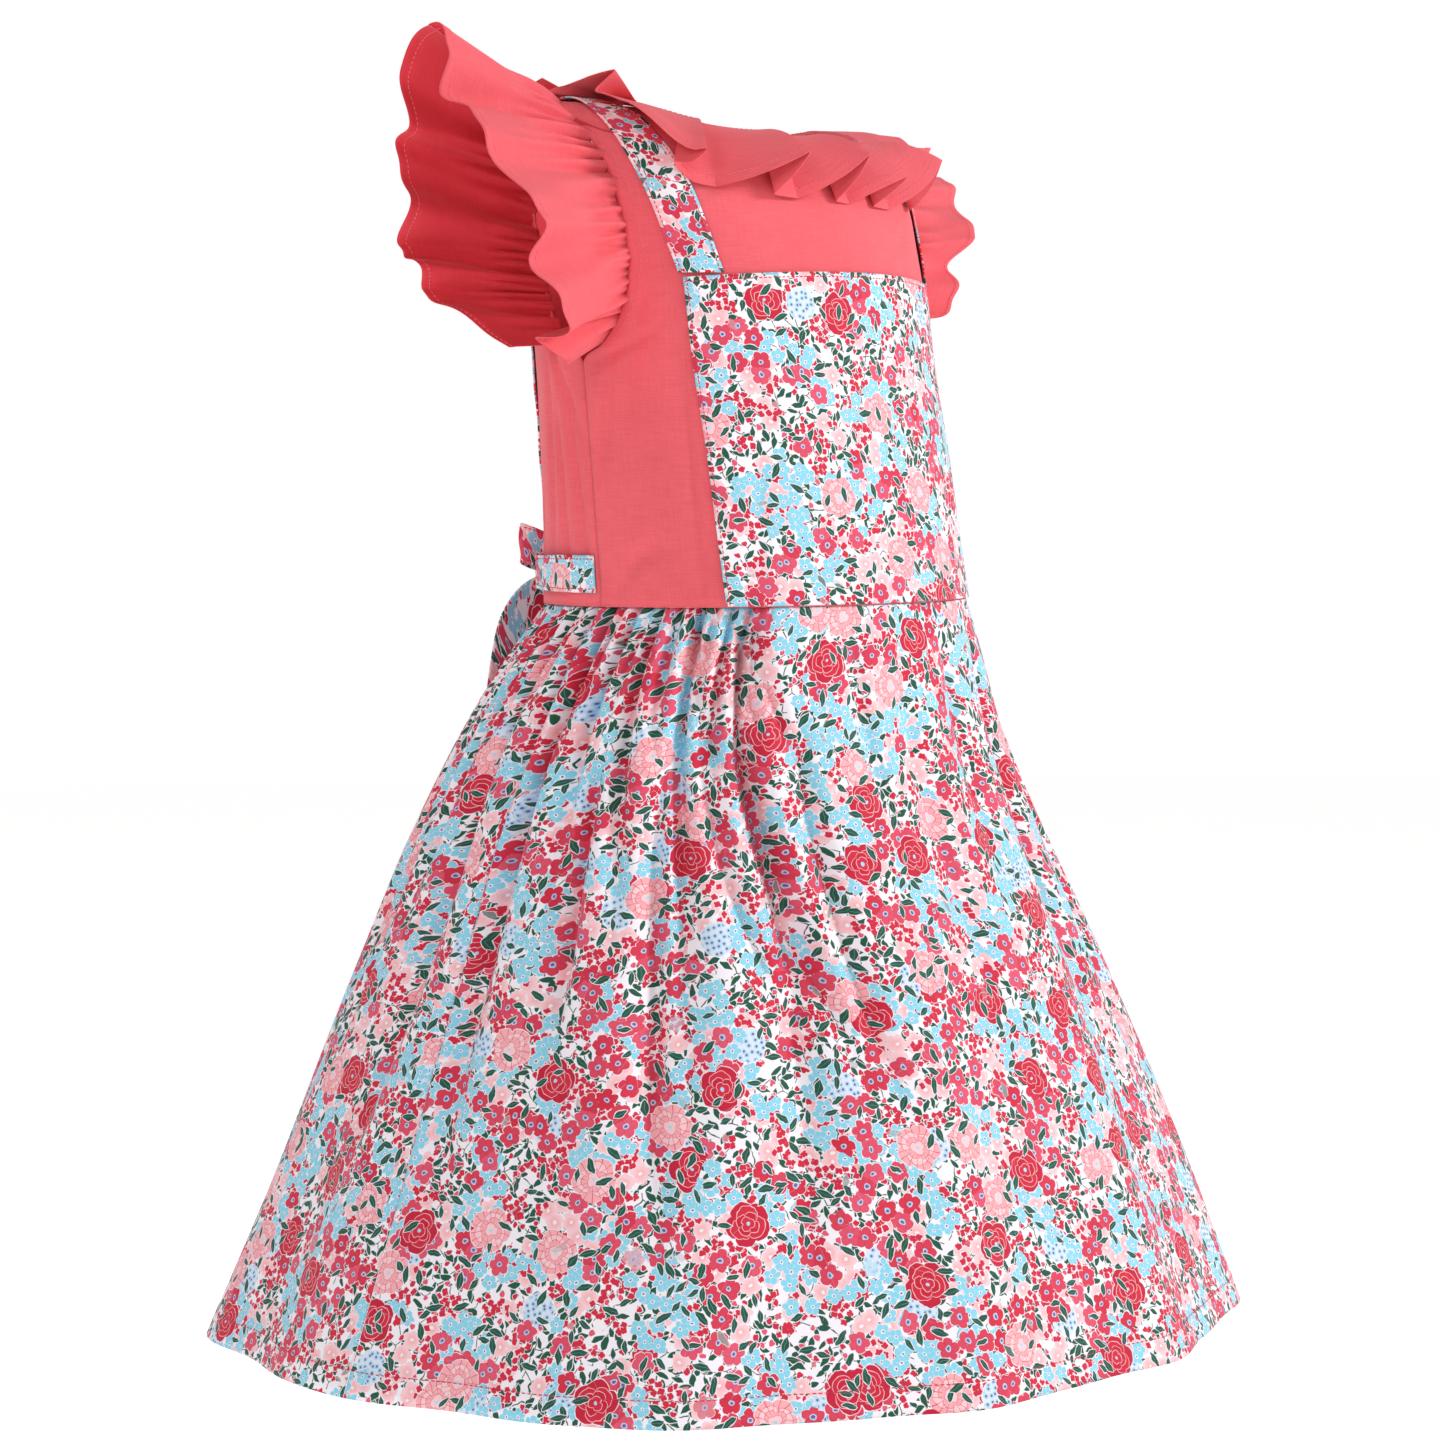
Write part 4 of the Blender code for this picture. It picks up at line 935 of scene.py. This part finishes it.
for x, y in ((1, 1), (-1, 1), (1, -1), (-1, -1)):
    bpy.ops.object.select_all(action="DESELECT")
    bpy.ops.mesh.primitive_cylinder_add(vertices=12, radius=HOLE_RADIUS, depth=0.006,
                                        location=(HOLE_PLACE * x, HOLE_PLACE * y, 0))
    drill = bpy.context.active_object
    bpy.context.view_layer.objects.active = button_model
    cut = button_model.modifiers.new("hole", "BOOLEAN")
    cut.operation, cut.object, cut.solver = "DIFFERENCE", drill, "EXACT"
    bpy.ops.object.modifier_apply(modifier="hole")
    bpy.data.objects.remove(drill, do_unlink=True)
pick(button_model)
bpy.ops.object.shade_smooth_by_angle(angle=math.radians(35))
print("button", len(button_model.data.polygons), "faces")

# %% Four buttons and their thread
red_button, button_shader = make_cloudy("red_button", 0.32, 320.0, 3.0,
                                        (0.60, 0.045, 0.075, 1), (0.84, 0.12, 0.16, 1), 0.00003)
button_shader.inputs["Coat Weight"].default_value = 0.3
thread_lines = []
for number, height in enumerate((-0.045, -0.080, -0.115, -0.145), start=1):
    above, below = body_point(180.0, height + 0.005), body_point(180.0, height - 0.005)
    along = unit(above - below)
    out = np.array([0.0, along[2], -along[1]])
    seat = (above + below) / 2 + out * (0.0006 + 0.0011 + 0.0003 + 0.0011)
    button = add_object(f"sewn_button_{number}", button_model.data.copy())
    turn = Vector(out).to_track_quat("Z", "Y").to_matrix().to_4x4()
    button.data.transform(Matrix.Translation(Vector(seat)) @ turn)
    button.data.materials.clear()
    button.data.materials.append(red_button)
    hang(button, f"button_{number}")
    sideways = np.array([0.0013, 0.0, 0.0])
    for lift in (-HOLE_PLACE, HOLE_PLACE):
        ends = np.array([seat + along * lift - sideways, seat + along * lift + sideways])
        thread_lines.append((ends + out * 0.00065, np.array([out, out])))
bpy.data.objects.remove(button_model, do_unlink=True)
stitch_lines("button_thread", thread_lines, COTTON_PITCH, red_thread, width=0.0005)

# %% [markdown]
# ## The neck ruffle
#
# The ruffle is one long strip, pleated before it is sewn to the neckline. A knife pleat has three layers:
# the cloth runs forward, turns back under itself and runs forward again. The table gives one pleat as
# points: where each lies along the seam and along the free edge, how far it stands out, and how high its
# layer lies at the seam.

# %% Knife pleats round the neck
PleatPoint = namedtuple("PleatPoint", "seam_place edge_place stand_angle lift")
PLEAT = [PleatPoint(*row) for row in (
    (0.00, 0.00, 0.0, 0.0000), (0.15, 0.14, 5.0, 0.0003), (0.30, 0.28, 10.0, 0.0006),
    (0.45, 0.43, 15.5, 0.0009), (0.60, 0.58, 21.0, 0.0012), (0.74, 0.75, 27.0, 0.0014),
    (0.83, 0.87, 31.0, 0.0016), (0.86, 0.91, 32.0, 0.0016), (0.865, 0.912, 30.5, 0.0014),
    (0.85, 0.885, 27.0, 0.0012), (0.78, 0.79, 17.5, 0.0011), (0.70, 0.68, 7.5, 0.0010),
    (0.665, 0.64, 3.2, 0.0009), (0.66, 0.635, 1.8, 0.0007), (0.675, 0.65, 0.8, 0.0004),
    (0.75, 0.74, 0.4, 0.0003), (0.88, 0.87, 0.0, 0.0001))]
NECK_PLEATS, NECK_OPENING, NECK_EDGE_ANGLE = 14, 0.16, 40.4
NECK_DEPTH, SHOULDER_DEPTH = 0.048, 0.033
NECK_TILTS = ((0.0, 64.0, 96.0, 93.0), (0.3, 50.0, 96.0, 92.0),
              (0.65, 32.0, 94.0, 90.0), (1.0, 20.0, 92.0, 88.0))


def neckline(side, places):
    middle = FRONT_ROWS[-1].middle_height if side == "front" else BACK_ROWS[-1].middle_height
    angle = places * NECK_EDGE_ANGLE
    return body_point(angle if side == "front" else 180.0 - angle, middle * (1.0 - np.abs(places) ** 4))


def read_path(path, shares):
    run = np.concatenate([[0.0], np.cumsum(np.linalg.norm(np.diff(path, axis=0), axis=1))])
    run /= run[-1]
    at = [np.stack([np.interp(np.clip(shares + step, 0, 1), run, path[:, k]) for k in range(3)], axis=-1)
          for step in (0.0, 0.02, -0.02)]
    return at[0], unit(at[1] - at[2])


def clear_of_body(points, margin):
    """Points moved outwards where they would lie in the bodice or its straps."""
    over_strap = ease(0.078, 0.088, np.abs(points[:, 0]))
    margin = margin + 0.0010 + 0.0022 * over_strap
    height = points[:, 2] + left_drop(points[:, 0], points[:, 2])
    half_width, half_depth, centre_y = body_oval(np.minimum(height, 0.0))
    reach = np.hypot(points[:, 0] / (half_width + margin), (points[:, 1] - centre_y) / (half_depth + margin))
    push = np.maximum(1.0 / np.maximum(reach, 1e-6), 1.0)
    return np.stack([points[:, 0] * push, centre_y + (points[:, 1] - centre_y) * push, points[:, 2]], axis=-1)


def finer(values, steps):
    values = np.asarray(values, float)
    marks = np.arange(len(values))
    return np.interp(np.linspace(0, len(values) - 1, (len(values) - 1) * steps + 1), marks, values)


# %% The strip falls from the neckline row by row
pleats = [(number, point) for number in range(NECK_PLEATS) for point in PLEAT] + [(NECK_PLEATS, PLEAT[0])]
uneven = 0.10 * np.sin(np.arange(NECK_PLEATS + 1) * 2.4 + 0.7)
seam_places = finer([(n + p.seam_place) / NECK_PLEATS for n, p in pleats], 2)
edge_places = finer([(n + p.edge_place + uneven[n] * math.sin(math.pi * p.edge_place)) / NECK_PLEATS
                     for n, p in pleats], 2)
stands = finer([p.stand_angle * (1.0 + 2.2 * uneven[n]) for n, p in pleats], 2)
lifts = finer([p.lift for n, p in pleats], 2)
path = np.concatenate([neckline("back", np.linspace(-NECK_OPENING, -1.0, 80)),
                       neckline("front", np.linspace(-1.0, 1.0, 160))[1:],
                       neckline("back", np.linspace(1.0, NECK_OPENING, 80))[1:]])
sky = np.array([0.0, 0.0, 1.0])
tilt_downs = [row[0] for row in NECK_TILTS]
fallen, before, ruffle_rows = np.zeros((len(lifts), 3)), 0.0, []
for down in np.concatenate([[0.0, 0.03], np.linspace(0.06, 1.0, 30)]):
    points, along = read_path(path, seam_places * (1 - down) + edge_places * down)
    radial = unit(np.cross(along * np.array([1.0, 1.0, 0.0]), sky))
    sideways = ease(0.72, 1.0, np.abs(radial[:, 0]))
    on_left, middle_down = radial[:, 0] > 0, (before + down) / 2
    middle, right, left = (smooth_read(middle_down, tilt_downs, [row[k] for row in NECK_TILTS])
                           for k in (1, 2, 3))
    calm = np.where(on_left, 0.90, 0.40)
    tilt = middle + (np.where(on_left, left, right) - middle) * sideways + stands * (1.0 - calm * sideways)
    depth = NECK_DEPTH + (SHOULDER_DEPTH - NECK_DEPTH) * sideways
    tilt = np.radians(tilt)[:, None]
    fallen = fallen + (radial * np.sin(tilt) - sky * np.cos(tilt)) * depth[:, None] * (down - before)
    row = points + sky * (0.0016 * ease(0.0, 0.06, down) + 0.0003) + fallen + radial * lifts[:, None]
    ruffle_rows.append(row if down < 0.20 else clear_of_body(row, lifts))
    before = down
neck = np.array(ruffle_rows)
neck_up = np.broadcast_to(sky, neck.shape)
neck_piece = sew("neck_ruffle", neck, flat_by_length(neck), neck_up, RUFFLE_CLOTH, coral)
neck_piece.data.set_sharp_from_angle(angle=math.radians(28))
neck_out = normals_towards(neck, neck_up)
stitch_lines("neck_ruffle_stitches", [row_line(neck, neck_out, 27.8), row_line(neck, neck_out, 2.6)],
             POPLIN_PITCH, coral_thread)

# %% [markdown]
# ## The flutter sleeves
#
# Each sleeve is a strip that is gathered into the armhole and stands out sideways. Near the seam it has
# many small tucks, which run together into nine broad waves at the free edge. The strip leans back and up
# by different amounts round the armhole, so its length and its lean are a table with one row for each
# station.

# %% Sleeve ruffles
Station = namedtuple("Station", "back edge_angle height lean right_length right_up left_length left_up")
STATIONS = [Station(*row) for row in (
    (0, 82.0, -0.124, 0.00, 0.026, -0.45, 0.012, -0.15),
    (0, 74.5, -0.108, -0.05, 0.054, -0.36, 0.020, 0.00),
    (0, 70.0, -0.085, -0.15, 0.072, -0.20, 0.036, 0.06),
    (0, 69.5, -0.055, -0.16, 0.078, -0.07, 0.054, 0.02),
    (0, 71.0, -0.031, 0.02, 0.079, 0.02, 0.062, 0.00), (0, 75.0, -0.014, 0.22, 0.080, 0.22, 0.065, 0.00),
    (1, 90.0, 0.000, 0.10, 0.083, 0.50, 0.070, 0.02), (1, 80.0, -0.009, 0.24, 0.080, 0.38, 0.071, 0.00),
    (1, 75.0, -0.027, 0.38, 0.075, 0.31, 0.070, -0.04),
    (1, 72.0, -0.048, 0.28, 0.074, 0.22, 0.068, -0.08),
    (1, 72.5, -0.082, 0.42, 0.074, 0.10, 0.060, -0.10),
    (1, 76.0, -0.107, 0.48, 0.058, 0.06, 0.044, -0.12),
    (1, 82.5, -0.124, 0.35, 0.030, -0.05, 0.024, -0.20))]


WAVES, SLEEVE_ROWS = 9, 46


def sleeve_grid(side, hand):
    seam = np.array([body_point(hand * (180.0 - s.edge_angle if s.back else s.edge_angle), s.height)
                     for s in STATIONS])
    marks = np.concatenate([[0.0], np.cumsum(np.linalg.norm(np.diff(seam, axis=0), axis=1))])
    marks /= marks[-1]
    places = np.linspace(0.0, 1.0, 420)
    points = np.stack([smooth_read(places, marks, seam[:, k]) for k in range(3)], axis=-1)
    length, back, up = (smooth_read(places, marks, column(STATIONS, name))
                        for name in (f"{side}_length", "lean", f"{side}_up"))
    out = unit(np.stack([np.full(places.shape, float(hand)), back, up], axis=-1))
    across = unit(np.cross(unit(np.gradient(points, axis=0)), out)) * -hand
    drift = 0.022 * np.sin(2 * math.pi * 2.3 * places) + 0.008 * np.sin(29 * places)
    phase = 2 * math.pi * WAVES * (places + drift)
    ends = ease(0.0, 0.08, places) * ease(0.0, 0.08, 1 - places)
    crest = np.sin(phase) + 0.22 * np.sin(2 * phase + 1.1) + 0.10 * np.sin(3 * phase)
    wave = crest * (1.0 + 0.45 * np.sin(2 * math.pi * 1.7 * places + 0.6) + 0.2 * np.sin(17 * places)) * ends
    tuck = np.sin(4 * phase + 1.5 * np.sin(phase)) + 0.5 * np.sin(2 * phase + 0.8)
    fine = np.sin(9 * phase + 2.0 * np.sin(phase * 0.7))
    reach = 0.55 + 0.45 * np.sin(phase * 0.37 + 1.0)
    grid = []
    for down in np.linspace(0.0, 1.0, SLEEVE_ROWS):
        ripple = 0.0074 * down**1.1 * wave
        ripple = ripple + 0.0021 * np.exp(-((down - 0.20) / (0.14 + 0.30 * reach)) ** 2) * tuck * ends
        ripple = ripple + 0.0009 * np.exp(-((down - 0.06) / 0.12) ** 2) * fine * ends
        hem_step = 0.00035 * ease(0.915, 0.935, down)
        edge_in = 0.0012 * ease(0.6, 1.0, down) * np.cos(phase * 1.3 + 0.4) - 0.0030 * (1 - down)
        reached = points + out * (0.0007 + length * down + edge_in)[:, None]
        grid.append(reached + across * (ripple + hem_step)[:, None])
    return np.array(grid), np.broadcast_to(across, (SLEEVE_ROWS,) + across.shape)


for side, hand in (("right", -1), ("left", 1)):
    grid, across = sleeve_grid(side, hand)
    out = normals_towards(grid, across)
    name = f"sleeve_ruffle_{side}"
    # The inner faces take the coral copy with painted shade and a painted glow.
    sew(name, grid, flat_by_length(grid), across, RUFFLE_CLOTH, coral, coral_painted_shade)
    hem, seam = row_line(grid, out, 42.2), row_line(grid, out, 0.8)
    under = (hem[0] - hem[1] * RUFFLE_CLOTH, -hem[1])
    stitch_lines(f"{name}_stitches", [hem, seam, under], POPLIN_PITCH, coral_thread)

# %% [markdown]
# ## The skirt
#
# Two wide panels of floral cotton are gathered into the waist seam, all but a smooth stretch under the bib.
# Gathering makes sharp furrows a few millimetres apart that run down and fade, some after three centimetres
# and some after thirty, while the cloth between them widens into soft folds. A repeating table gives every
# furrow its length, depth and place, and beside the bib it leans towards the front on its way down. Smaller
# furrows lie between, right under the seam, and long creases are listed one by one, each from place to place.

# %% Form of the skirt
SKIRT = ((0.00, 0.1236, 0.1038, -0.0310), (0.07, 0.1382, 0.1170, -0.0235), (0.18, 0.1583, 0.1354, -0.0145),
         (0.50, 0.2120, 0.1888, -0.0100), (0.80, 0.2550, 0.2368, -0.0085), (1.00, 0.2820, 0.2690, -0.0050))
GATHER_START, GATHERS = 40.0, 62
GATHER_STEP = (360.0 - 2 * GATHER_START) / GATHERS
GATHER_PULL, LONG_PULL = 2.9, 3.0       # how much deeper the cloth is pulled than the two tables say
GATHER_PATTERN = ((0.16, 0.0030, 0.10), (0.52, 0.0046, -0.12), (0.22, 0.0032, 0.05), (0.78, 0.0055, 0.15),
                  (0.14, 0.0027, -0.10), (0.36, 0.0042, -0.05), (0.96, 0.0060, 0.12), (0.20, 0.0030, -0.15),
                  (0.44, 0.0044, 0.08))
LONG_CREASES = (
    ((-72.0, 0.20), (-71.5, 0.57), 0.0050, 1.3), ((-58.5, 0.20), (-55.5, 0.76), 0.0045, 1.5),
    ((-42.0, 0.18), (-27.5, 0.62), 0.0045, 1.5), ((-31.5, 0.18), (-24.0, 0.64), 0.0038, 1.4),
    ((-52.5, 0.16), (-37.0, 0.56), 0.0036, 1.5), ((-61.0, 0.00), (-48.5, 0.20), 0.0028, 1.1),
    ((-50.5, 0.00), (-40.0, 0.16), 0.0026, 1.1), ((-46.0, 0.00), (-31.0, 0.22), 0.0020, 1.2),
    ((-20.0, 0.02), (-13.0, 0.34), 0.0018, 1.8), ((-6.0, 0.10), (-3.0, 0.60), 0.0022, 2.2),
    ((12.0, 0.04), (8.0, 0.42), 0.0020, 2.0), ((30.0, 0.05), (20.0, 0.55), 0.0034, 1.6),
    ((44.0, 0.10), (31.0, 0.60), 0.0040, 1.5), ((62.0, 0.15), (58.0, 0.80), 0.0046, 1.5),
    ((76.0, 0.20), (74.0, 0.62), 0.0044, 1.4), ((104.0, 0.15), (101.0, 0.70), 0.0046, 1.4),
    ((122.0, 0.20), (120.0, 0.85), 0.0050, 1.5), ((143.0, 0.10), (146.0, 0.60), 0.0040, 1.4),
    ((168.0, 0.20), (170.0, 0.75), 0.0048, 1.5), ((196.0, 0.15), (193.0, 0.68), 0.0044, 1.4),
    ((219.0, 0.20), (221.0, 0.82), 0.0048, 1.5), ((240.0, 0.10), (243.0, 0.60), 0.0042, 1.4),
    ((257.0, 0.22), (258.0, 0.70), 0.0046, 1.4))


def skirt_point(angle, drop):
    """Points of the skirt: drop is 0 at the waist seam and 1 at the hem."""
    angle, drop = np.broadcast_arrays(np.asarray(angle, float), np.asarray(drop, float))
    drops = [row[0] for row in SKIRT]
    half_width, half_depth, centre_y = (smooth_read(drop, drops, [row[k] for row in SKIRT]) for k in (1, 2, 3))
    turn = np.mod(angle, 360.0)
    inward = np.zeros(angle.shape)
    for number in range(GATHERS):
        length, depth, shift = GATHER_PATTERN[number % len(GATHER_PATTERN)]
        valley = GATHER_START + GATHER_STEP * (number + 0.5 + shift)
        from_front = min(valley, 360 - valley)
        lean = -9.0 * float(ease(95, 50, from_front)) * (1 if valley < 180 else -1)
        line = valley + lean * ease(0.0, 0.45, drop) + 0.8 * np.sin(9 * drop + number)
        fade = (0.55 + 0.45 * ease(0.0, 0.05, drop)) * (1.0 - ease(0.30, 1.0, drop / length))
        breadth = GATHER_STEP * (0.24 + 0.40 * ease(0.03, 0.6, drop))
        inward += GATHER_PULL * depth * fade * np.exp(-(np.abs(turn - line) / breadth) ** 1.5)
    for number in range(2 * GATHERS):
        valley = GATHER_START + GATHER_STEP * (number / 2 + 0.1 + 0.12 * math.sin(number * 2.1))
        length = 0.035 + 0.045 * abs(math.sin(number * 1.3))
        fade = 1.0 - ease(0.2, 1.0, drop / length)
        inward += 0.0015 * fade * np.exp(-(np.abs(turn - valley) / (GATHER_STEP * 0.16)) ** 1.6)
    for (angle_1, drop_1), (angle_2, drop_2), depth, breadth in LONG_CREASES:
        share = (drop - drop_1) / (drop_2 - drop_1)
        line = angle_1 + (angle_2 - angle_1) * share
        off = np.mod(angle - line + 180.0, 360.0) - 180.0
        fade = ease(-0.15, 0.25, share) * (1.0 - ease(0.6, 1.15, share))
        side = np.where(off > 0, 1.0, 1.9)
        inward += LONG_PULL * depth * fade * np.exp(-np.abs(off / (breadth * side)) ** 1.3)
    waves = np.sin(np.radians(turn * 11) + 0.8 * np.sin(np.radians(3 * turn)))
    soft = np.sin(np.radians(turn * 23) + 1.3 * np.sin(np.radians(2 * turn)) + 5 * drop)
    out = 0.0040 * ease(0.15, 1.0, drop) * waves + 0.0011 * ease(0.25, 0.7, drop) * soft - inward
    out = out + 0.0004 * ease(0.964, 0.968, drop)
    x = (half_width + out) * np.sin(np.radians(angle))
    y = centre_y - (half_depth + out) * np.cos(np.radians(angle))
    return np.stack([x, y, WAIST - SEAM_CLEAR + (HEM - WAIST + SEAM_CLEAR) * drop], axis=-1)


# %% The two panels of the skirt
RING_RADIUS = 0.325     # of the waist edge, when a panel lies flat


def skirt_flat(grid):
    """The panel laid flat as part of a wide ring. Each thread down it keeps its place at the hem."""
    plain = flat_by_length(grid)
    radius = RING_RADIUS + plain[..., 1]
    turn = np.broadcast_to(plain[-1, :, 0] / radius[-1], radius.shape)
    return np.stack([radius * np.sin(turn), -radius * np.cos(turn)], axis=-1)


drops = np.concatenate([np.linspace(0, 1, 96) ** 1.35 * 0.964, [0.966, 0.968, 0.976, 0.988, 1.0]])[:, None]
seam_gap = 0.0895       # degrees between a panel and its side seam
front_angles = np.concatenate([np.linspace(-90 + seam_gap, -38, 150)[:-1], np.linspace(-38, 38, 120)[:-1],
                               np.linspace(38, 90 - seam_gap, 150)])
back_angles = np.linspace(90 + seam_gap, 270 - seam_gap, 440)
skirt_lines = []
for name, angles in (("skirt_front", front_angles), ("skirt_back", back_angles)):
    grid = skirt_point(angles[None, :], drops)
    out = normals_towards(grid, from_axis(grid))
    sew(name, grid, skirt_flat(grid), from_axis(grid), POPLIN, floral)
    skirt_lines.append(row_line(grid, out, 96.4))
stitch_lines("skirt_hem_stitches", skirt_lines, HEM_PITCH, red_thread)

# %% [markdown]
# ## Ties and bow
#
# Two ties run from the side seams to the centre back, where they make a bow. A bow is four pieces round a
# knot: two loops that turn back to the knot, and two free ends. Each is a strip whose width is drawn
# together at the knot, which throws small folds that fade outwards. The knot is a rounded block with two
# folds across it.

# %% Ties
TIE_HEIGHT, TIE_LIFT, TIE_WIDTH, TIE_WIDTH_AT_KNOT = -0.2405, 0.0030, 0.019, 0.011
KNOT_HALF = (0.009, 0.007, 0.009)
knot_place = body_point(180.0, TIE_HEIGHT) + np.array([0.0, TIE_LIFT + KNOT_HALF[1] - 0.0008, 0.0])
tie_lines = []
for name, hand in (("tie_left", 1), ("tie_right", -1)):
    angles = np.linspace(90.9, 176.4, 130)
    share = (angles - angles[0]) / (angles[-1] - angles[0])
    width = TIE_WIDTH + (TIE_WIDTH_AT_KNOT - TIE_WIDTH) * ease(0.1, 1.0, share)
    shares = np.linspace(-0.5, 0.5, 17)
    tie = np.array([body_point(hand * angles, TIE_HEIGHT + up * width) for up in shares])
    lift = 0.0006 + (TIE_LIFT - 0.0006) * ease(0.0, 0.35, share)[None, :]
    pull = 0.0006 * np.sin(26 * shares[:, None] + 4 * share[None, :]) * ease(0.15, 1.0, share)[None, :]
    dip = edge_dip(shares, TIE_WIDTH)[:, None] * (1 - share[None, :])
    lift = lift + 0.0011 + 0.0006 * share[None, :] + pull + dip
    tie = tie + normals_towards(tie, from_axis(tie)) * lift[..., None]
    sew(name, tie, flat_by_length(tie, 0) + np.array([0.07 * hand, 0.05]), from_axis(tie),
        DOUBLE_CLOTH, floral)
    out = normals_towards(tie, from_axis(tie))
    tie_lines += [row_line(tie, out, row) for row in (1.6, 14.4)]
stitch_lines("tie_stitches", tie_lines, COTTON_PITCH, red_thread)

# %% Loops of the bow
LOOP_REACH, LOOP_OPEN, LOOP_WIDTH = 0.048, 0.014, 0.021
bow_lines = []
for name, hand in (("bow_loop_left", 1), ("bow_loop_right", -1)):
    turn = np.pi * np.linspace(0.0, 1.0, 110)
    reach = np.sin(turn)
    sideways = KNOT_HALF[0] + 0.0001 + LOOP_REACH * reach**0.8
    half_open = (0.0018 + LOOP_OPEN * reach) / 2 * np.cos(turn)
    height = LOOP_WIDTH * (0.28 + 0.72 * ease(0.0, 0.7, reach))
    shares = np.linspace(-0.5, 0.5, 21)
    behind = 0.003 + half_open + 0.004 * reach
    rows = [np.stack([hand * sideways, behind, up * height + 0.014 * reach], axis=-1) for up in shares]
    loop = np.array(rows) + knot_place
    outwards = unit(loop - loop.mean(axis=(0, 1)))
    fold = 0.0009 * np.sin(22 * shares[:, None] + 0.9 * hand) * (1 - ease(0.1, 0.8, reach))[None, :]
    fold = fold + 0.0005 * np.sin(5 * turn + 7 * shares[:, None])
    loop = loop + normals_towards(loop, outwards) * fold[..., None]
    outwards = unit(loop - loop.mean(axis=(0, 1)))
    sew(name, loop, flat_by_length(loop, 0) + np.array([0.02 * hand, 0.09]), outwards, BOW_CLOTH, floral)
    out = normals_towards(loop, outwards)
    bow_lines += [row_line(loop, out, row) for row in (1.7, 18.3)]

# %% Free ends of the bow: how far out, behind and down the middle line lies, and its width
TAIL = ((0.0074, 0.003, 0.0113, 0.009), (0.0180, 0.010, 0.0140, 0.018), (0.0340, 0.016, 0.0180, 0.026),
        (0.0450, 0.020, 0.0310, 0.028), (0.0480, 0.025, 0.0520, 0.028), (0.0460, 0.034, 0.0770, 0.027),
        (0.0410, 0.047, 0.1020, 0.026))
for name, hand in (("bow_tail_left", 1), ("bow_tail_right", -1)):
    marks = np.linspace(0, len(TAIL) - 1, 110)
    sideways, behind, down, width = (smooth_read(marks, range(len(TAIL)), [row[k] for row in TAIL])
                                     for k in range(4))
    middle = np.stack([hand * sideways, behind, -down], axis=-1)
    along = unit(np.gradient(middle, axis=0))
    across = unit(np.cross(along, np.array([0.0, 1.0, 0.0])))
    shares = np.linspace(-0.5, 0.5, 21)
    tail = np.array([middle + across * width[:, None] * share for share in shares]) + knot_place
    backwards = np.broadcast_to(np.array([0.0, 1.0, 0.0]), tail.shape)
    run = np.linspace(0, 1, 110)
    fold = 0.0010 * np.sin(20 * shares[:, None] + hand) * (1 - ease(0.0, 0.35, run))[None, :]
    curl = 0.0012 * np.sin(6 * run[None, :] + 3 * shares[:, None]) * ease(0.2, 0.6, run)[None, :]
    tail = tail + normals_towards(tail, backwards) * (fold + curl + 0.0004)[..., None]
    sew(name, tail, flat_by_length(tail, 0) + np.array([0.02 * hand, -0.06]), backwards, BOW_CLOTH, floral)
    out = normals_towards(tail, backwards)
    bow_lines += [row_line(tail, out, row) for row in (1.7, 18.3)] + [column_line(tail, out, 106.5)]
stitch_lines("bow_stitches", bow_lines, COTTON_PITCH, red_thread)

# %% The knot
bpy.ops.object.select_all(action="DESELECT")
bpy.ops.mesh.primitive_uv_sphere_add(segments=48, ring_count=32, radius=1.0, location=(0, 0, 0))
knot = bpy.context.active_object
knot.name = "knot_wrap"
knot_points = np.array([list(vert.co) for vert in knot.data.vertices])
block = np.sign(knot_points) * np.abs(knot_points) ** 0.6 * np.array(KNOT_HALF)
turned = knot_points[:, 2] + 0.35 * knot_points[:, 0]
folds = 0.0006 * np.exp(-((turned - 0.32) / 0.09) ** 2) + 0.0007 * np.exp(-((turned + 0.25) / 0.10) ** 2)
block[:, 2] *= 1.0 - 0.10 * np.exp(-(knot_points[:, 0] / 0.5) ** 2)
block = block * (1.0 - folds[:, None] / 0.009) + knot_place
knot.data.vertices.foreach_set("co", block.ravel())
knot_map = knot.data.uv_layers.active
knot_map.name = "Cloth"
spots = np.empty(len(knot.data.loops) * 2, dtype=np.float32)
knot_map.data.foreach_get("uv", spots)
KNOT_CLOTH = np.array([0.056, 0.028])       # metres of cloth round the knot and over it
spots = spots.reshape(-1, 2) * KNOT_CLOTH + 0.4
knot_map.data.foreach_set("uv", spots.ravel().astype(np.float32))
knot.data.update()
knot.data.shade_smooth()
knot.data.materials.append(floral)
hang(knot, "bow_knot")
print("knot", len(knot.data.polygons), "faces")

# %% [markdown]
# ## The flat cuts
#
# A sewer lays each piece out flat before cutting it. Here the record for a sheet's flat cut is set up.
# Widths are across the body and lengths are down it.

# %% The record of a flat cut
Cut = namedtuple("Cut", "width length held rests_on area")
